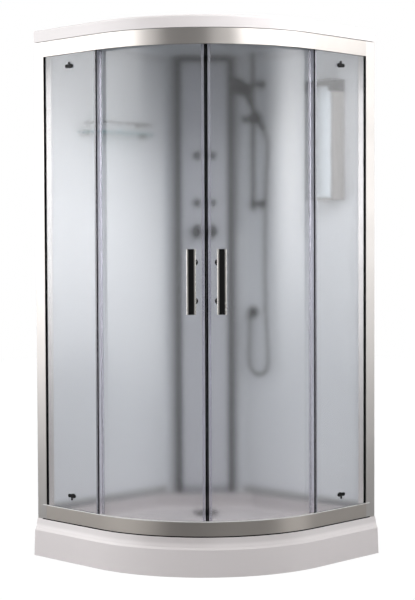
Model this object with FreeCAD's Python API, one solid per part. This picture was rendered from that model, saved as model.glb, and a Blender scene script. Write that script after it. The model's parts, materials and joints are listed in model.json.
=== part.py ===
import FreeCAD, Part
import math
import os

# A quarter-round corner shower cabin with two curved sliding doors.
# Lengths are in millimetres, angles in degrees, and +Z is up. The origin is on the floor under the
# middle of the tray. The room walls meet at the rear corner (-X, +Y), and the rounded front faces
# (+X, -Y). Most places are given by p, the distance from the left room wall, and q, the distance from
# the right one. In the corner column they are given by u, to the right of the cabin's diagonal, and v,
# along that diagonal from the rear corner. Depths in the rails run inwards from the frame's outer face.

# Whole cabin
FRAME_SIDE = 979.0
FRAME_RADIUS = 600.0
SEAT_HEIGHT = 150.0
FRAME_HEIGHT = 1940.0
CUT_OVERRUN = 5.0
RUNNING_GAP = 0.05
SEAT_GAP = 0.2
HALF_ARC = 45.0
QUARTER_TURN = 90.0

# Tray
TRAY_PROUD = 21.0
TRAY_WALL = 5.0
SKIRT_STEP_HEIGHT = 104.0
SKIRT_LEAN = 5.0
STEP_RISE = 8.0
STEP_DEPTH = 5.0
RIM_LEAN = 9.0
RIM_FILLET = 3.0
FLOOR_HEIGHT = 117.0
LEDGE_HEIGHT = 180.0
BASIN_REAR = 66.0
BASIN_INSET = 62.0
BASIN_CORNER = 292.0
BASIN_CORNER_FILLET = 40.0
BASIN_FLOOR_FILLET = 14.0
REAR_OPENING_HEIGHT = 138.0
REAR_OPENING_END = 70.0

# Support frame and feet
BEAM_SIZE = 25.0
BEAM_WALL = 2.0
BEAM_NEAR = 150.0
BEAM_FAR_INSET = 340.0
BEAM_START = 60.0
BEAM_END_INSET = 110.0
FOOT_INSET = 150.0
FOOT_PAD_RADIUS = 25.0
FOOT_PAD_HEIGHT = 10.0
FOOT_CONE_HEIGHT = 7.0
FOOT_ROD_RADIUS = 6.0
FOOT_ROD_GRIP = 16.0
FOOT_HOLE_GAP = 0.5
NUT_ACROSS_FLATS = 19.0
NUT_HEIGHT = 10.0

# Waste
WASTE_PLACE = 300.0
WASTE_HOLE_RADIUS = 45.0
WASTE_FLANGE_RADIUS = 58.0
WASTE_FLANGE = 6.0
WASTE_GASKET = 3.0
WASTE_WALL = 3.5
WASTE_CUP_BOTTOM = 34.0
WASTE_PIPE_RADIUS = 20.0
WASTE_PIPE_HEIGHT = 60.0
WASTE_PIPE_END = 14.0
WASTE_SPIGOT = 60.0
WASTE_NUT_RADIUS = 28.0
WASTE_NUT_LENGTH = 24.0
WASTE_BRANCH_RADIUS = 23.0
WASTE_COVER_RADIUS = 55.0
WASTE_COVER_GAP = 6.0
WASTE_COVER_EDGE = 2.5
WASTE_COVER_CROWN = 6.0
WASTE_TUBE_WALL = 2.5

# Wall panels and corner column
PANEL_BACK = 30.0
PANEL_SKIN = 6.0
PANEL_LAP = 20.0
COLUMN_HALF_WIDTH = 100.0
COLUMN_FRONT = 262.0
COLUMN_SPREAD = 170.0
COLUMN_SKIN = 4.0
TRIM_HEIGHT = 24.0
TRIM_DEPTH = 14.0

# Jambs
JAMB_WIDTH = 55.0
JAMB_DEPTH = 44.0
JAMB_WALL = 2.0
JAMB_PANEL_SLOT = 12.0
JAMB_GLASS_SLOT = 14.0
JAMB_FILLET = 1.5

# Rails: depths from the outer face, heights from the closed web
RAIL_HEIGHT = 60.0
RAIL_WALL = 2.0
RAIL_WEB = 44.0
RAIL_LEG = 15.0
RAIL_TRACK = 24.0
RAIL_TRACK_DROP = 10.0
RAIL_DEPTH = 44.0
RAIL_DAM = 8.0

# Fixed panes, gaskets and clips
GLASS = 5.0
FIXED_GLASS_DEPTH = 6.0
FIXED_EDGE_BACK = 13.0
GASKET_BASE = 2.0
GASKET_PROUD = 2.5
EDGE_STRIP = 2.5
EDGE_SEAL_GRIP = 12.0
EDGE_SEAL_SKIN = 2.0
EDGE_SEAL_FIN = 2.0
EDGE_SEAL_FIN_REACH = 19.0
CLIP_ABOVE_RAIL = 54.0
CLIP_BELOW_RAIL = 49.0
CLIP_SHANK_RADIUS = 5.0
CLIP_HUB_RADIUS = 8.0
CLIP_LOBE_RADIUS = 7.5
CLIP_LOBE_OFFSET = 14.0
CLIP_THICKNESS = 4.5
CLIP_STEM_WIDTH = 6.0
CLIP_STEM_LENGTH = 17.0
CLIP_CAP_RADIUS = 9.0

# Doors
DOOR_DEPTH = 33.0
DOOR_BOTTOM_GAP = 14.0
DOOR_TOP_GAP = 10.0
DOOR_LAP = 6.0
DOOR_TRAVEL_ANGLE = 25.0
MAGNET_WIDTH = 6.3
MAGNET_GAP = 0.15
SEAL_SKIN = 2.0
SEAL_LIP = 1.5
SEAL_GRIP = 10.0
SEAL_FIN = 2.0
SEAL_FIN_REACH = 10.0
RAIL_CLEARANCE = 2.0

# Handles
HANDLE_OFFSET = 55.0
HANDLE_LENGTH = 250.0
HANDLE_WIDTH = 37.0
HANDLE_THICKNESS = 14.0
HANDLE_STANDOFF = 26.0
HANDLE_CENTRE = 1128.0
HANDLE_FILLET = 3.0
HANDLE_HOLES = 148.0
INLAY_WIDTH = 22.0
INLAY_DEPTH = 3.0
INLAY_PROUD = 0.8
MOUNT_SHIFT = 9.0
MOUNT_DISC_RADIUS = 14.0
MOUNT_DISC = 6.0
MOUNT_POST_RADIUS = 7.0
MOUNT_SHANK_RADIUS = 4.8
MOUNT_CAP_RADIUS = 10.0
MOUNT_CAP = 5.0
MOUNT_CAP_GAP = 0.5

# Rollers and guide shoes
LEADING_ANGLE = 4.5
TRAILING_ANGLE = 22.0
WHEEL_RADIUS = 12.5
WHEEL_GROOVE = 2.5
WHEEL_WIDTH = 8.0
WHEEL_GROOVE_WIDTH = 4.0
WHEEL_TRACK_GAP = 0.3
AXLE_RADIUS = 3.0
AXLE_HEAD_RADIUS = 5.5
AXLE_HEAD = 1.6
HANGER_COLLAR_RADIUS = 8.0
HANGER_SHANK_RADIUS = 5.8
HANGER_CAP_RADIUS = 14.0
HANGER_CAP = 5.0
HANGER_SIDE_GAP = 0.4
SHOE_HALF_LENGTH = 10.0
SHOE_HEIGHT = 16.0
SHOE_SLOT_GAP = 1.2
SHOE_WALL = 3.0
SHOE_FLOOR = 6.0
SHOE_WEB_GAP = 3.0
SHOE_SHANK_RADIUS = 3.8
SHOE_CAP_RADIUS = 9.0
SHOE_CAP = 3.5
BUFFER_LENGTH = 24.0
BUFFER_GAP = 2.0
BUFFER_HEIGHT = 22.0
BUFFER_WALL = 4.0
HOLE_GAP = 0.2

# Roof
CEILING_SKIN = 4.0
CEILING_INSET = 5.0
ROOF_GAP = 2.0
ROOF_HEIGHT = 48.0
ROOF_OVERHANG = 4.0
ROOF_SKIN = 5.0
ROOF_RIM = 16.0
ROOF_FILLET = 8.0

# Shelf on the left wall
SHELF_LENGTH = 390.0
SHELF_DEPTH = 115.0
SHELF_SHIFT = 18.0
SHELF_HEIGHT = 1735.0
SHELF_GLASS = 6.0
SHELF_WALL_GAP = 2.0
SHELF_FILLET = 105.0
SHELF_BRACKET_SPAN = 315.0
SHELF_BRACKET_RADIUS = 12.0
SHELF_BRACKET_REACH = 34.0
GUARD_RADIUS = 4.0
GUARD_RISE = 44.0
GUARD_INSET = 12.0
GUARD_END_INSET = 55.0
GUARD_BEND = 22.0
GUARD_ROSETTE_RADIUS = 10.0
GUARD_ROSETTE = 4.0

# Mirror box on the right wall
MIRROR_INSET = 270.0
MIRROR_WIDTH = 139.0
MIRROR_BOTTOM = 1452.0
MIRROR_HEIGHT = 494.0
MIRROR_DEPTH = 75.0
MIRROR_FRAME = 10.0
MIRROR_GLASS = 4.0
MIRROR_SKIN = 3.0
MIRROR_CAP_HEIGHT = 28.0
MIRROR_CAP_PROUD = 5.0
MIRROR_EAR_WIDTH = 20.0
MIRROR_EAR_HEIGHT = 50.0

# Riser, slider and hand shower on the right wall
RISER_PLACE = 391.0
RISER_STANDOFF = 59.0
RISER_RADIUS = 10.0
RISER_WALL = 1.5
RISER_BOTTOM = 1418.0
BRACKET_RISE = 27.0
BRACKET_HIGH = 1960.0
BRACKET_RING_RADIUS = 15.0
BRACKET_HEIGHT = 24.0
BRACKET_ARM_RADIUS = 8.0
BRACKET_BASE_RADIUS = 18.0
BRACKET_BASE = 6.0
SLIDER_HEIGHT = 1812.0
SLIDER_RADIUS = 18.0
SLIDER_LENGTH = 44.0
SLIDER_ARM = 18.0
SLIDER_KNOB_RADIUS = 14.0
SLIDER_KNOB_NECK = 8.0
SLIDER_KNOB_START = 8.0
SLIDER_KNOB_END = 32.0
HOLDER_SIDE = 45.0
HOLDER_FORWARD = 20.0
HOLDER_RADIUS = 17.0
HOLDER_LENGTH = 26.0
HOLDER_BOSS_RADIUS = 9.0
HOLDER_BOSS_END = 24.0
HOLDER_MOUTH = 14.5
PIVOT_RADIUS = 5.0
PIVOT_LENGTH = 9.0
HANDSET_TILT = 37.0
HANDLE_TAIL = 50.0
HANDLE_TOP = 152.0
HANDLE_TAIL_RADIUS = 10.5
HANDLE_GRIP_RADIUS = 12.5
HANDLE_NECK_RADIUS = 10.0
HEAD_PLACE = 165.0
HEAD_FORWARD = 6.0
HEAD_TURN = 12.0
HEAD_RADIUS = 52.0
HEAD_FRONT = 12.0
HEAD_RIM = 8.0
HEAD_BACK = 12.0
HEAD_BACK_RADIUS = 20.0
FACE_RADIUS = 47.0
FACE_RECESS = 3.0
FACE_PROUD = 1.0
HOSE_NUT_LENGTH = 25.0
HOSE_NUT_RADIUS = 10.5
HOSE_RADIUS = 6.0

# Wall outlet
OUTLET_PLACE = 340.0
OUTLET_HEIGHT = 976.0
OUTLET_REACH = 24.0
OUTLET_RADIUS = 10.0
OUTLET_BALL_RADIUS = 11.5
OUTLET_DROP = 14.0
OUTLET_ROSETTE_RADIUS = 26.0
OUTLET_ROSETTE = 6.0
OUTLET_BLOCK = 24.0

# Mixer, knobs, jets and pipes in the column
KNOB_OFFSET = 35.0
KNOB_HEIGHT = 1328.0
KNOB_RADIUS = 22.0
KNOB_LENGTH = 25.0
KNOB_PANEL_GAP = 0.5
KNOB_GRIP_LENGTH = 62.0
KNOB_GRIP_WIDTH = 15.0
KNOB_GRIP = 12.0
KNOB_GRIP_FILLET = 4.0
SPINDLE_RADIUS = 7.0
SPINDLE_LENGTH = 23.0
VALVE_HALF_LENGTH = 62.0
VALVE_BACK = 195.0
VALVE_FRONT = 238.0
VALVE_HEIGHT = 50.0
VALVE_FILLET = 6.0
COLLAR_RADIUS = 16.0
BUSH_RADIUS = 11.5
INLET_OFFSET = 45.0
INLET_RADIUS = 10.48
INLET_LENGTH = 28.0
JET_OFFSET = 33.0
JET_HEIGHTS = (1452.0, 1658.0)
JET_RADIUS = 18.0
JET_FLANGE = 6.0
JET_EDGE = 2.0
JET_FACE_RADIUS = 13.0
JET_NOZZLE_RADIUS = 6.0
JET_NOZZLE = 3.0
JET_SHANK_RADIUS = 8.8
PIPE_RADIUS = 7.0
PIPE_BEND = 28.0
PIPE_BEHIND_PANEL = 14.0
MANIFOLD_DEPTH = 236.0
MANIFOLD_END = 12.0

# Route of the free hose: places p, q and z, from the handset's nut to the wall outlet's nut
HOSE_ROUTE = (
    (434.0, 50.0, 1650.0),
    (431.0, 55.0, 1512.0),
    (428.0, 58.0, 1332.0),
    (427.0, 59.0, 1142.0),
    (431.0, 60.0, 985.0),
    (438.0, 60.0, 880.0),
    (443.0, 60.0, 806.0),
    (444.0, 60.0, 742.0),
    (423.0, 60.0, 713.0),
    (390.0, 60.0, 702.0),
    (357.0, 60.0, 713.0),
    (336.0, 60.0, 742.0),
    (335.0, 60.0, 800.0),
    (340.0, 60.0, 880.0),
)
HOSE_LEAD = 40.0
HOSE_BEND_SHARE = 0.45

# Places that follow from the sizes above
TRAY_SIDE = FRAME_SIDE + TRAY_PROUD
HALF = TRAY_SIDE / 2
CENTRE = FRAME_SIDE - FRAME_RADIUS
FRAME_TOP = SEAT_HEIGHT + FRAME_HEIGHT
ROOF_BOTTOM = FRAME_TOP + ROOF_GAP
ROOF_TOP = ROOF_BOTTOM + ROOF_HEIGHT
LOWER_EDGE = SEAT_HEIGHT + RAIL_HEIGHT
UPPER_EDGE = FRAME_TOP - RAIL_HEIGHT
PANEL_FACE = PANEL_BACK + PANEL_SKIN
COLUMN_FOOT = PANEL_FACE + COLUMN_SPREAD * math.sqrt(2)
PANEL_START = COLUMN_FOOT - PANEL_LAP
FLOOR_UNDER = FLOOR_HEIGHT - TRAY_WALL
BEAM_BOTTOM = FLOOR_UNDER - BEAM_SIZE
BEAM_FAR = TRAY_SIDE - BEAM_FAR_INSET
BEAM_END = TRAY_SIDE - BEAM_END_INSET
FOOT_OUT = TRAY_SIDE - FOOT_INSET
FIXED_EDGE = CENTRE - FIXED_EDGE_BACK
CLIP_PLACE = (JAMB_WIDTH + FIXED_EDGE) / 2
DOOR_OUTER = FRAME_RADIUS - DOOR_DEPTH
DOOR_INNER = DOOR_OUTER - GLASS
DOOR_LAP_ANGLE = HALF_ARC + math.degrees((FIXED_EDGE_BACK + DOOR_LAP) / DOOR_OUTER)
DOOR_BOTTOM = SEAT_HEIGHT + DOOR_BOTTOM_GAP
DOOR_TOP = FRAME_TOP - DOOR_TOP_GAP
TRACK_MIDDLE = RAIL_TRACK + RAIL_WALL / 2
TRACK_TOP = FRAME_TOP - RAIL_WEB + RAIL_TRACK_DROP
TRACK_BOTTOM = SEAT_HEIGHT + RAIL_WEB - RAIL_TRACK_DROP
WHEEL_HEIGHT = TRACK_TOP + WHEEL_TRACK_GAP + WHEEL_RADIUS - WHEEL_GROOVE
WHEEL_OUTER = FRAME_RADIUS - TRACK_MIDDLE + WHEEL_WIDTH / 2
WHEEL_INNER = WHEEL_OUTER - WHEEL_WIDTH
SHOE_TOP = SEAT_HEIGHT + RAIL_WEB - SHOE_WEB_GAP
SHOE_BOTTOM = SHOE_TOP - SHOE_HEIGHT
SHOE_SHANK_HEIGHT = SHOE_BOTTOM + SHOE_HEIGHT / 2
SHELF_PLACE = (COLUMN_FOOT + FRAME_SIDE - JAMB_DEPTH) / 2 - SHELF_SHIFT
MIRROR_START = FRAME_SIDE - MIRROR_INSET
RISER_Q = PANEL_FACE + RISER_STANDOFF
BRACKET_LOW = RISER_BOTTOM + BRACKET_RISE
HOLDER_P = RISER_PLACE + HOLDER_SIDE
HOLDER_Q = RISER_Q + HOLDER_FORWARD
OUTLET_Q = PANEL_FACE + OUTLET_REACH
OUTLET_BOTTOM = OUTLET_HEIGHT - OUTLET_DROP
HOSE_END_HEIGHT = OUTLET_BOTTOM - HOSE_NUT_LENGTH
FOOT_PLACES = (
    (BEAM_NEAR, BEAM_NEAR),
    (FOOT_OUT, BEAM_NEAR),
    (BEAM_NEAR, FOOT_OUT),
    (FOOT_OUT, BEAM_FAR),
    (BEAM_FAR, FOOT_OUT),
)
X_AXIS = FreeCAD.Vector(1, 0, 0)
Y_AXIS = FreeCAD.Vector(0, 1, 0)
Z_AXIS = FreeCAD.Vector(0, 0, 1)
ORIGIN = FreeCAD.Vector(0, 0, 0)
DIAGONAL = FreeCAD.Vector(1, 1, 0)


# Points and basic forms

def at(p, q, z):
    """Point p from the left room wall, q from the right room wall and z above the floor."""
    return FreeCAD.Vector(p - HALF, HALF - q, z)


def span(middle, width):
    """Pair of limits of a width about its middle."""
    return (middle - width / 2, middle + width / 2)


def block(p, q, z):
    """Box between pairs of limits in p, q and z."""
    return Part.makeBox(p[1] - p[0], q[1] - q[0], z[1] - z[0], at(p[0], q[1], z[0]))


def rod_up(p, q, z, radius):
    """Upright cylinder between two heights."""
    return Part.makeCylinder(radius, z[1] - z[0], at(p, q, z[0]), Z_AXIS)


def rod_p(p, q, z, radius):
    """Cylinder along p, away from the left wall."""
    return Part.makeCylinder(radius, p[1] - p[0], at(p[0], q, z), X_AXIS)


def rod_q(p, q, z, radius):
    """Cylinder along q, away from the right wall."""
    return Part.makeCylinder(radius, q[1] - q[0], at(p, q[0], z), -Y_AXIS)


def across(shape):
    """Copy of a piece on the other side of the cabin's diagonal."""
    return shape.mirror(ORIGIN, DIAGONAL)


def pair(shape):
    """A piece and its copy on the other side of the diagonal."""
    return [shape, across(shape)]


def prism(points, z):
    """Upright prism over a closed outline of (p, q) points."""
    corners = [at(p, q, z[0]) for p, q in points]
    face = Part.Face(Part.makePolygon(corners + corners[:1]))
    return face.extrude(Z_AXIS * (z[1] - z[0]))


def group(shapes):
    """One node that holds separate solids."""
    return Part.makeCompound([solid for shape in shapes for solid in shape.Solids])


def rim(radius, angle, z):
    """Point on a circle about the front arc's axis, at an angle from the seam towards the left."""
    turn = math.radians(-HALF_ARC - angle)
    return at(CENTRE, CENTRE, z) + FreeCAD.Vector(radius * math.cos(turn), radius * math.sin(turn), 0)


def sector(radii, angles, z):
    """Curved wall between two radii, two angles from the seam and two heights."""
    inner, outer = radii
    first, last = angles
    middle = (first + last) / 2
    low = z[0]
    edges = [
        Part.Arc(rim(outer, first, low), rim(outer, middle, low), rim(outer, last, low)).toShape(),
        Part.makeLine(rim(outer, last, low), rim(inner, last, low)),
        Part.Arc(rim(inner, last, low), rim(inner, middle, low), rim(inner, first, low)).toShape(),
        Part.makeLine(rim(inner, first, low), rim(outer, first, low)),
    ]
    return Part.Face(Part.Wire(edges)).extrude(Z_AXIS * (z[1] - low))


def arc_angle(length):
    """Angle that a length takes up along the door glass."""
    return math.degrees(length / DOOR_OUTER)


def along_arc(shape, angle):
    """Piece modelled at the left end of the arc, carried along it to an angle from the seam."""
    moved = shape.copy()
    moved.rotate(at(CENTRE, CENTRE, 0), Z_AXIS, HALF_ARC - angle)
    return moved


def radial_rod(shift, radii, z, radius):
    """Cylinder along the arc's radius at its left end, shifted towards the seam."""
    return rod_q(CENTRE + shift, (CENTRE + radii[0], CENTRE + radii[1]), z, radius)


def footprint(rear, inset, z):
    """Plan outline: straight beside the walls, rounded at the front and set in from the frame's face."""
    side = FRAME_SIDE - inset
    edges = [
        Part.makeLine(at(rear, rear, z), at(rear, side, z)),
        Part.makeLine(at(rear, side, z), at(CENTRE, side, z)),
        Part.Arc(at(CENTRE, side, z), rim(FRAME_RADIUS - inset, 0, z), at(side, CENTRE, z)).toShape(),
        Part.makeLine(at(side, CENTRE, z), at(side, rear, z)),
        Part.makeLine(at(side, rear, z), at(rear, rear, z)),
    ]
    return Part.Wire(edges)


def slab(rear, inset, z):
    """Plate over the plan outline."""
    return Part.Face(footprint(rear, inset, z[0])).extrude(Z_AXIS * (z[1] - z[0]))


def to_corner(shape):
    """Piece modelled on u and -v, turned into the rear corner."""
    shape.rotate(ORIGIN, Z_AXIS, HALF_ARC)
    shape.translate(at(0, 0, 0))
    return shape


def corner_block(u, v, z):
    """Box in the column's own directions."""
    return to_corner(Part.makeBox(u[1] - u[0], v[1] - v[0], z[1] - z[0], FreeCAD.Vector(u[0], -v[1], z[0])))


def corner_rod(u, v, z, radius):
    """Cylinder that points out of the column."""
    return to_corner(Part.makeCylinder(radius, v[1] - v[0], FreeCAD.Vector(u, -v[0], z), -Y_AXIS))


def corner_point(u, v):
    """The p and q of a point given by u and v."""
    return ((v + u) / math.sqrt(2), (v - u) / math.sqrt(2))


def upright_edges(shape, places):
    """Upright edges of a solid that stand over the given (p, q) places."""
    found = []
    for edge in shape.Edges:
        low, high = edge.Vertexes[0].Point, edge.Vertexes[-1].Point
        if abs(low.z - high.z) < SEAT_GAP:
            continue
        for p, q in places:
            here = at(p, q, low.z)
            if (low - here).Length < SEAT_GAP:
                found.append(edge)
    return found


def level_edges(shape, z):
    """Edges of a solid that lie at one height."""
    return [edge for edge in shape.Edges if all(abs(v.Z - z) < RUNNING_GAP for v in edge.Vertexes)]


def route(points, tangents):
    """Straight runs joined by tangent arcs; a tangent length is given for each inner point."""
    edges = []
    start = points[0]
    for index, tangent in enumerate(tangents, 1):
        corner = points[index]
        arriving = (corner - points[index - 1]).normalize()
        leaving = (points[index + 1] - corner).normalize()
        half_turn = arriving.getAngle(leaving) / 2
        radius = tangent / math.tan(half_turn)
        inwards = (leaving - arriving).normalize()
        middle = corner + inwards * (radius / math.cos(half_turn) - radius)
        entry = corner - arriving * tangent
        leave = corner + leaving * tangent
        edges.append(Part.makeLine(start, entry))
        edges.append(Part.Arc(entry, middle, leave).toShape())
        start = leave
    edges.append(Part.makeLine(start, points[-1]))
    return Part.Wire(edges)


def bent_rod(points, tangents, radius):
    """Round rod along a route."""
    path = route(points, tangents)
    ring = Part.Wire([Part.Circle(points[0], points[1] - points[0], radius).toShape()])
    return path, path.makePipeShell([ring], True, False)


# Tray and what is under it

def skirt(rear, offset, top):
    """Solid inside the stepped and flared skirt, offset inwards, up to a height."""
    inset = FRAME_SIDE - TRAY_SIDE + offset
    levels = [(inset, 0)]
    inset += SKIRT_LEAN
    levels.append((inset, SKIRT_STEP_HEIGHT))
    inset += STEP_DEPTH
    levels.append((inset, SKIRT_STEP_HEIGHT + STEP_RISE))
    inset += RIM_LEAN
    levels.append((inset, top))
    return Part.makeLoft([footprint(rear, depth, z) for depth, z in levels], True, True)


def basin(grow, bottom, top):
    """Inside of the basin, grown outwards, with rounded corners and floor edge."""
    rear = BASIN_REAR - grow
    front = FRAME_SIDE - BASIN_INSET + grow
    notch = (BASIN_CORNER - grow) * math.sqrt(2) - rear
    radius = front - CENTRE
    edges = [
        Part.makeLine(at(rear, notch, bottom), at(rear, front, bottom)),
        Part.makeLine(at(rear, front, bottom), at(CENTRE, front, bottom)),
        Part.Arc(at(CENTRE, front, bottom), rim(radius, 0, bottom), at(front, CENTRE, bottom)).toShape(),
        Part.makeLine(at(front, CENTRE, bottom), at(front, rear, bottom)),
        Part.makeLine(at(front, rear, bottom), at(notch, rear, bottom)),
        Part.makeLine(at(notch, rear, bottom), at(rear, notch, bottom)),
    ]
    solid = Part.Face(Part.Wire(edges)).extrude(Z_AXIS * (top - bottom))
    corners = [(rear, front), (front, rear), (rear, notch), (notch, rear)]
    solid = solid.makeFillet(BASIN_CORNER_FILLET + grow, upright_edges(solid, corners))
    return solid.makeFillet(BASIN_FLOOR_FILLET + grow, level_edges(solid, bottom))


def ledge(inset, z):
    """Raised ledge along both walls and under the column, set in all round."""
    depth = BASIN_REAR + CUT_OVERRUN
    reach = FRAME_SIDE - JAMB_DEPTH - inset
    along = block((inset, depth), (inset, reach), z)
    corner = BASIN_CORNER * math.sqrt(2)
    triangle = prism([(inset, inset), (corner, inset), (inset, corner)], z)
    return along.fuse([across(along), triangle])


def make_tray():
    """White tray: skirt, rim, basin and wall ledge as one moulded shell."""
    body = skirt(0, 0, SEAT_HEIGHT).fuse(ledge(0, (SEAT_HEIGHT / 2, LEDGE_HEIGHT)))
    top = LEDGE_HEIGHT + CUT_OVERRUN
    under = skirt(TRAY_WALL, TRAY_WALL, SEAT_HEIGHT - TRAY_WALL)
    under = under.fuse(ledge(TRAY_WALL, (SEAT_HEIGHT / 2, LEDGE_HEIGHT - TRAY_WALL)))
    under = under.cut(basin(TRAY_WALL, FLOOR_UNDER, top))
    tray = body.cut(basin(0, FLOOR_HEIGHT, top)).cut(under)
    behind = block(
        (-CUT_OVERRUN, TRAY_WALL + CUT_OVERRUN),
        (REAR_OPENING_END, FRAME_SIDE - REAR_OPENING_END),
        (-CUT_OVERRUN, REAR_OPENING_HEIGHT),
    )
    hole = rod_up(WASTE_PLACE, WASTE_PLACE, (FLOOR_UNDER - CUT_OVERRUN, top), WASTE_HOLE_RADIUS)
    tray = tray.cut(behind).cut(across(behind)).cut(hole).removeSplitter()
    step = [e for e in level_edges(tray, SKIRT_STEP_HEIGHT) if min(outer_inset(e)) < STEP_DEPTH]
    return tray.makeFillet(RIM_FILLET, step)


def outer_inset(edge):
    """How far each end of an edge lies inside the skirt's face at the step."""
    face = TRAY_SIDE - SKIRT_LEAN
    insets = []
    for vertex in edge.Vertexes:
        p, q = vertex.X + HALF, HALF - vertex.Y
        straight = face - max(p, q)
        bend = face - CENTRE - math.hypot(p - CENTRE, q - CENTRE)
        insets.append(abs(min(straight, bend, key=abs)))
    return insets


def make_support_frame():
    """Welded square tubes under the basin floor."""
    outer = []
    inner = []
    for place in (BEAM_NEAR, BEAM_FAR):
        ends = (BEAM_START, BEAM_END)
        beam = block(ends, span(place, BEAM_SIZE), (BEAM_BOTTOM, FLOOR_UNDER))
        hollow = block(
            (BEAM_START - CUT_OVERRUN, BEAM_END + CUT_OVERRUN),
            span(place, BEAM_SIZE - 2 * BEAM_WALL),
            (BEAM_BOTTOM + BEAM_WALL, FLOOR_UNDER - BEAM_WALL),
        )
        outer += pair(beam)
        inner += pair(hollow)
    frame = outer[0].fuse(outer[1:]).cut(inner[0].fuse(inner[1:]))
    low = BEAM_BOTTOM - CUT_OVERRUN
    high = BEAM_BOTTOM + BEAM_WALL + CUT_OVERRUN
    holes = [rod_up(p, q, (low, high), FOOT_ROD_RADIUS + FOOT_HOLE_GAP) for p, q in FOOT_PLACES]
    return frame.cut(holes).removeSplitter()


def make_levelling_feet():
    """Screw feet with their locknuts against the beams."""
    solids = []
    for p, q in FOOT_PLACES:
        pad = rod_up(p, q, (0, FOOT_PAD_HEIGHT), FOOT_PAD_RADIUS)
        cone = Part.makeCone(
            FOOT_PAD_RADIUS, FOOT_ROD_RADIUS, FOOT_CONE_HEIGHT, at(p, q, FOOT_PAD_HEIGHT), Z_AXIS
        )
        screw = rod_up(p, q, (FOOT_PAD_HEIGHT, BEAM_BOTTOM + FOOT_ROD_GRIP), FOOT_ROD_RADIUS)
        solids.append(pad.fuse([cone, screw]))
        low = BEAM_BOTTOM - NUT_HEIGHT
        reach = NUT_ACROSS_FLATS / math.sqrt(3)
        turns = [math.tau * step / 6 for step in range(6)]
        outline = [(p + reach * math.cos(turn), q + reach * math.sin(turn)) for turn in turns]
        bore = rod_up(p, q, (low - CUT_OVERRUN, BEAM_BOTTOM + CUT_OVERRUN), FOOT_ROD_RADIUS + RUNNING_GAP)
        solids.append(prism(outline, (low, BEAM_BOTTOM)).cut(bore))
    return group(solids)


def waste_ring(z, outer, inner):
    """Ring about the waste hole."""
    tall = (z[0] - CUT_OVERRUN, z[1] + CUT_OVERRUN)
    ring = rod_up(WASTE_PLACE, WASTE_PLACE, z, outer)
    return ring.cut(rod_up(WASTE_PLACE, WASTE_PLACE, tall, inner))


def make_waste_gasket():
    """Rubber ring between the tray and the trap."""
    return waste_ring((FLOOR_UNDER - WASTE_GASKET, FLOOR_UNDER), WASTE_FLANGE_RADIUS, WASTE_HOLE_RADIUS)


def make_waste_trap():
    """Cup with a flange under the tray, a neck through it, and a branch with a nut and spigot to the rear."""
    flange_top = FLOOR_UNDER - WASTE_GASKET
    flange_bottom = flange_top - WASTE_FLANGE
    neck = WASTE_HOLE_RADIUS - SEAT_GAP
    cup_radius = neck + WASTE_WALL
    bore = neck - WASTE_WALL
    place = WASTE_PLACE
    trap = rod_up(place, place, (flange_bottom, flange_top), WASTE_FLANGE_RADIUS)
    trap = trap.fuse(rod_up(place, place, (flange_bottom, FLOOR_HEIGHT), neck))
    trap = trap.fuse(rod_up(place, place, (WASTE_CUP_BOTTOM, flange_bottom), cup_radius))
    nut_start = WASTE_PIPE_END + WASTE_SPIGOT
    nut_end = nut_start + WASTE_NUT_LENGTH
    trap = trap.fuse([
        rod_p((WASTE_PIPE_END, place), place, WASTE_PIPE_HEIGHT, WASTE_PIPE_RADIUS),
        rod_p((nut_start, nut_end), place, WASTE_PIPE_HEIGHT, WASTE_NUT_RADIUS),
        rod_p((nut_end, place), place, WASTE_PIPE_HEIGHT, WASTE_BRANCH_RADIUS),
    ])
    trap = trap.cut(rod_up(place, place, (WASTE_CUP_BOTTOM + WASTE_WALL, FLOOR_HEIGHT + CUT_OVERRUN), bore))
    inside = WASTE_PIPE_RADIUS - WASTE_WALL
    return trap.cut(rod_p((WASTE_PIPE_END - CUT_OVERRUN, place), place, WASTE_PIPE_HEIGHT, inside))


def make_waste_cover():
    """Domed cap over the waste on a tube that stands in the trap's neck."""
    tube_outer = WASTE_HOLE_RADIUS - WASTE_WALL - 2 * SEAT_GAP
    tube_inner = tube_outer - WASTE_TUBE_WALL
    edge = FLOOR_HEIGHT + WASTE_COVER_GAP
    crown = edge + WASTE_COVER_CROWN
    foot = FLOOR_UNDER
    axis = at(WASTE_PLACE, WASTE_PLACE, 0)
    outline = [
        (0, crown),
        (WASTE_COVER_RADIUS / 2, crown - WASTE_COVER_CROWN / 4),
        (WASTE_COVER_RADIUS, edge + WASTE_COVER_EDGE),
        (WASTE_COVER_RADIUS, edge),
        (tube_outer, edge),
        (tube_outer, foot),
        (tube_inner, foot),
        (tube_inner, edge),
        (0, edge),
    ]
    corners = [axis + FreeCAD.Vector(r, 0, z) for r, z in outline]
    return Part.Face(Part.makePolygon(corners + corners[:1])).revolve(axis, Z_AXIS, 4 * QUARTER_TURN)


# Wall side

def make_left_wall_panel():
    """White sheet between the column and the left jamb."""
    end = FRAME_SIDE - JAMB_DEPTH + JAMB_PANEL_SLOT
    return block((PANEL_BACK, PANEL_FACE), (PANEL_START, end), (LEDGE_HEIGHT, FRAME_TOP))


def make_right_wall_panel():
    """White sheet between the column and the right jamb, with the hole of the hose outlet."""
    behind = (PANEL_BACK - CUT_OVERRUN, PANEL_FACE + CUT_OVERRUN)
    hole = rod_q(OUTLET_PLACE, behind, OUTLET_HEIGHT, OUTLET_RADIUS + HOLE_GAP)
    return across(make_left_wall_panel()).cut(hole)


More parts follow.
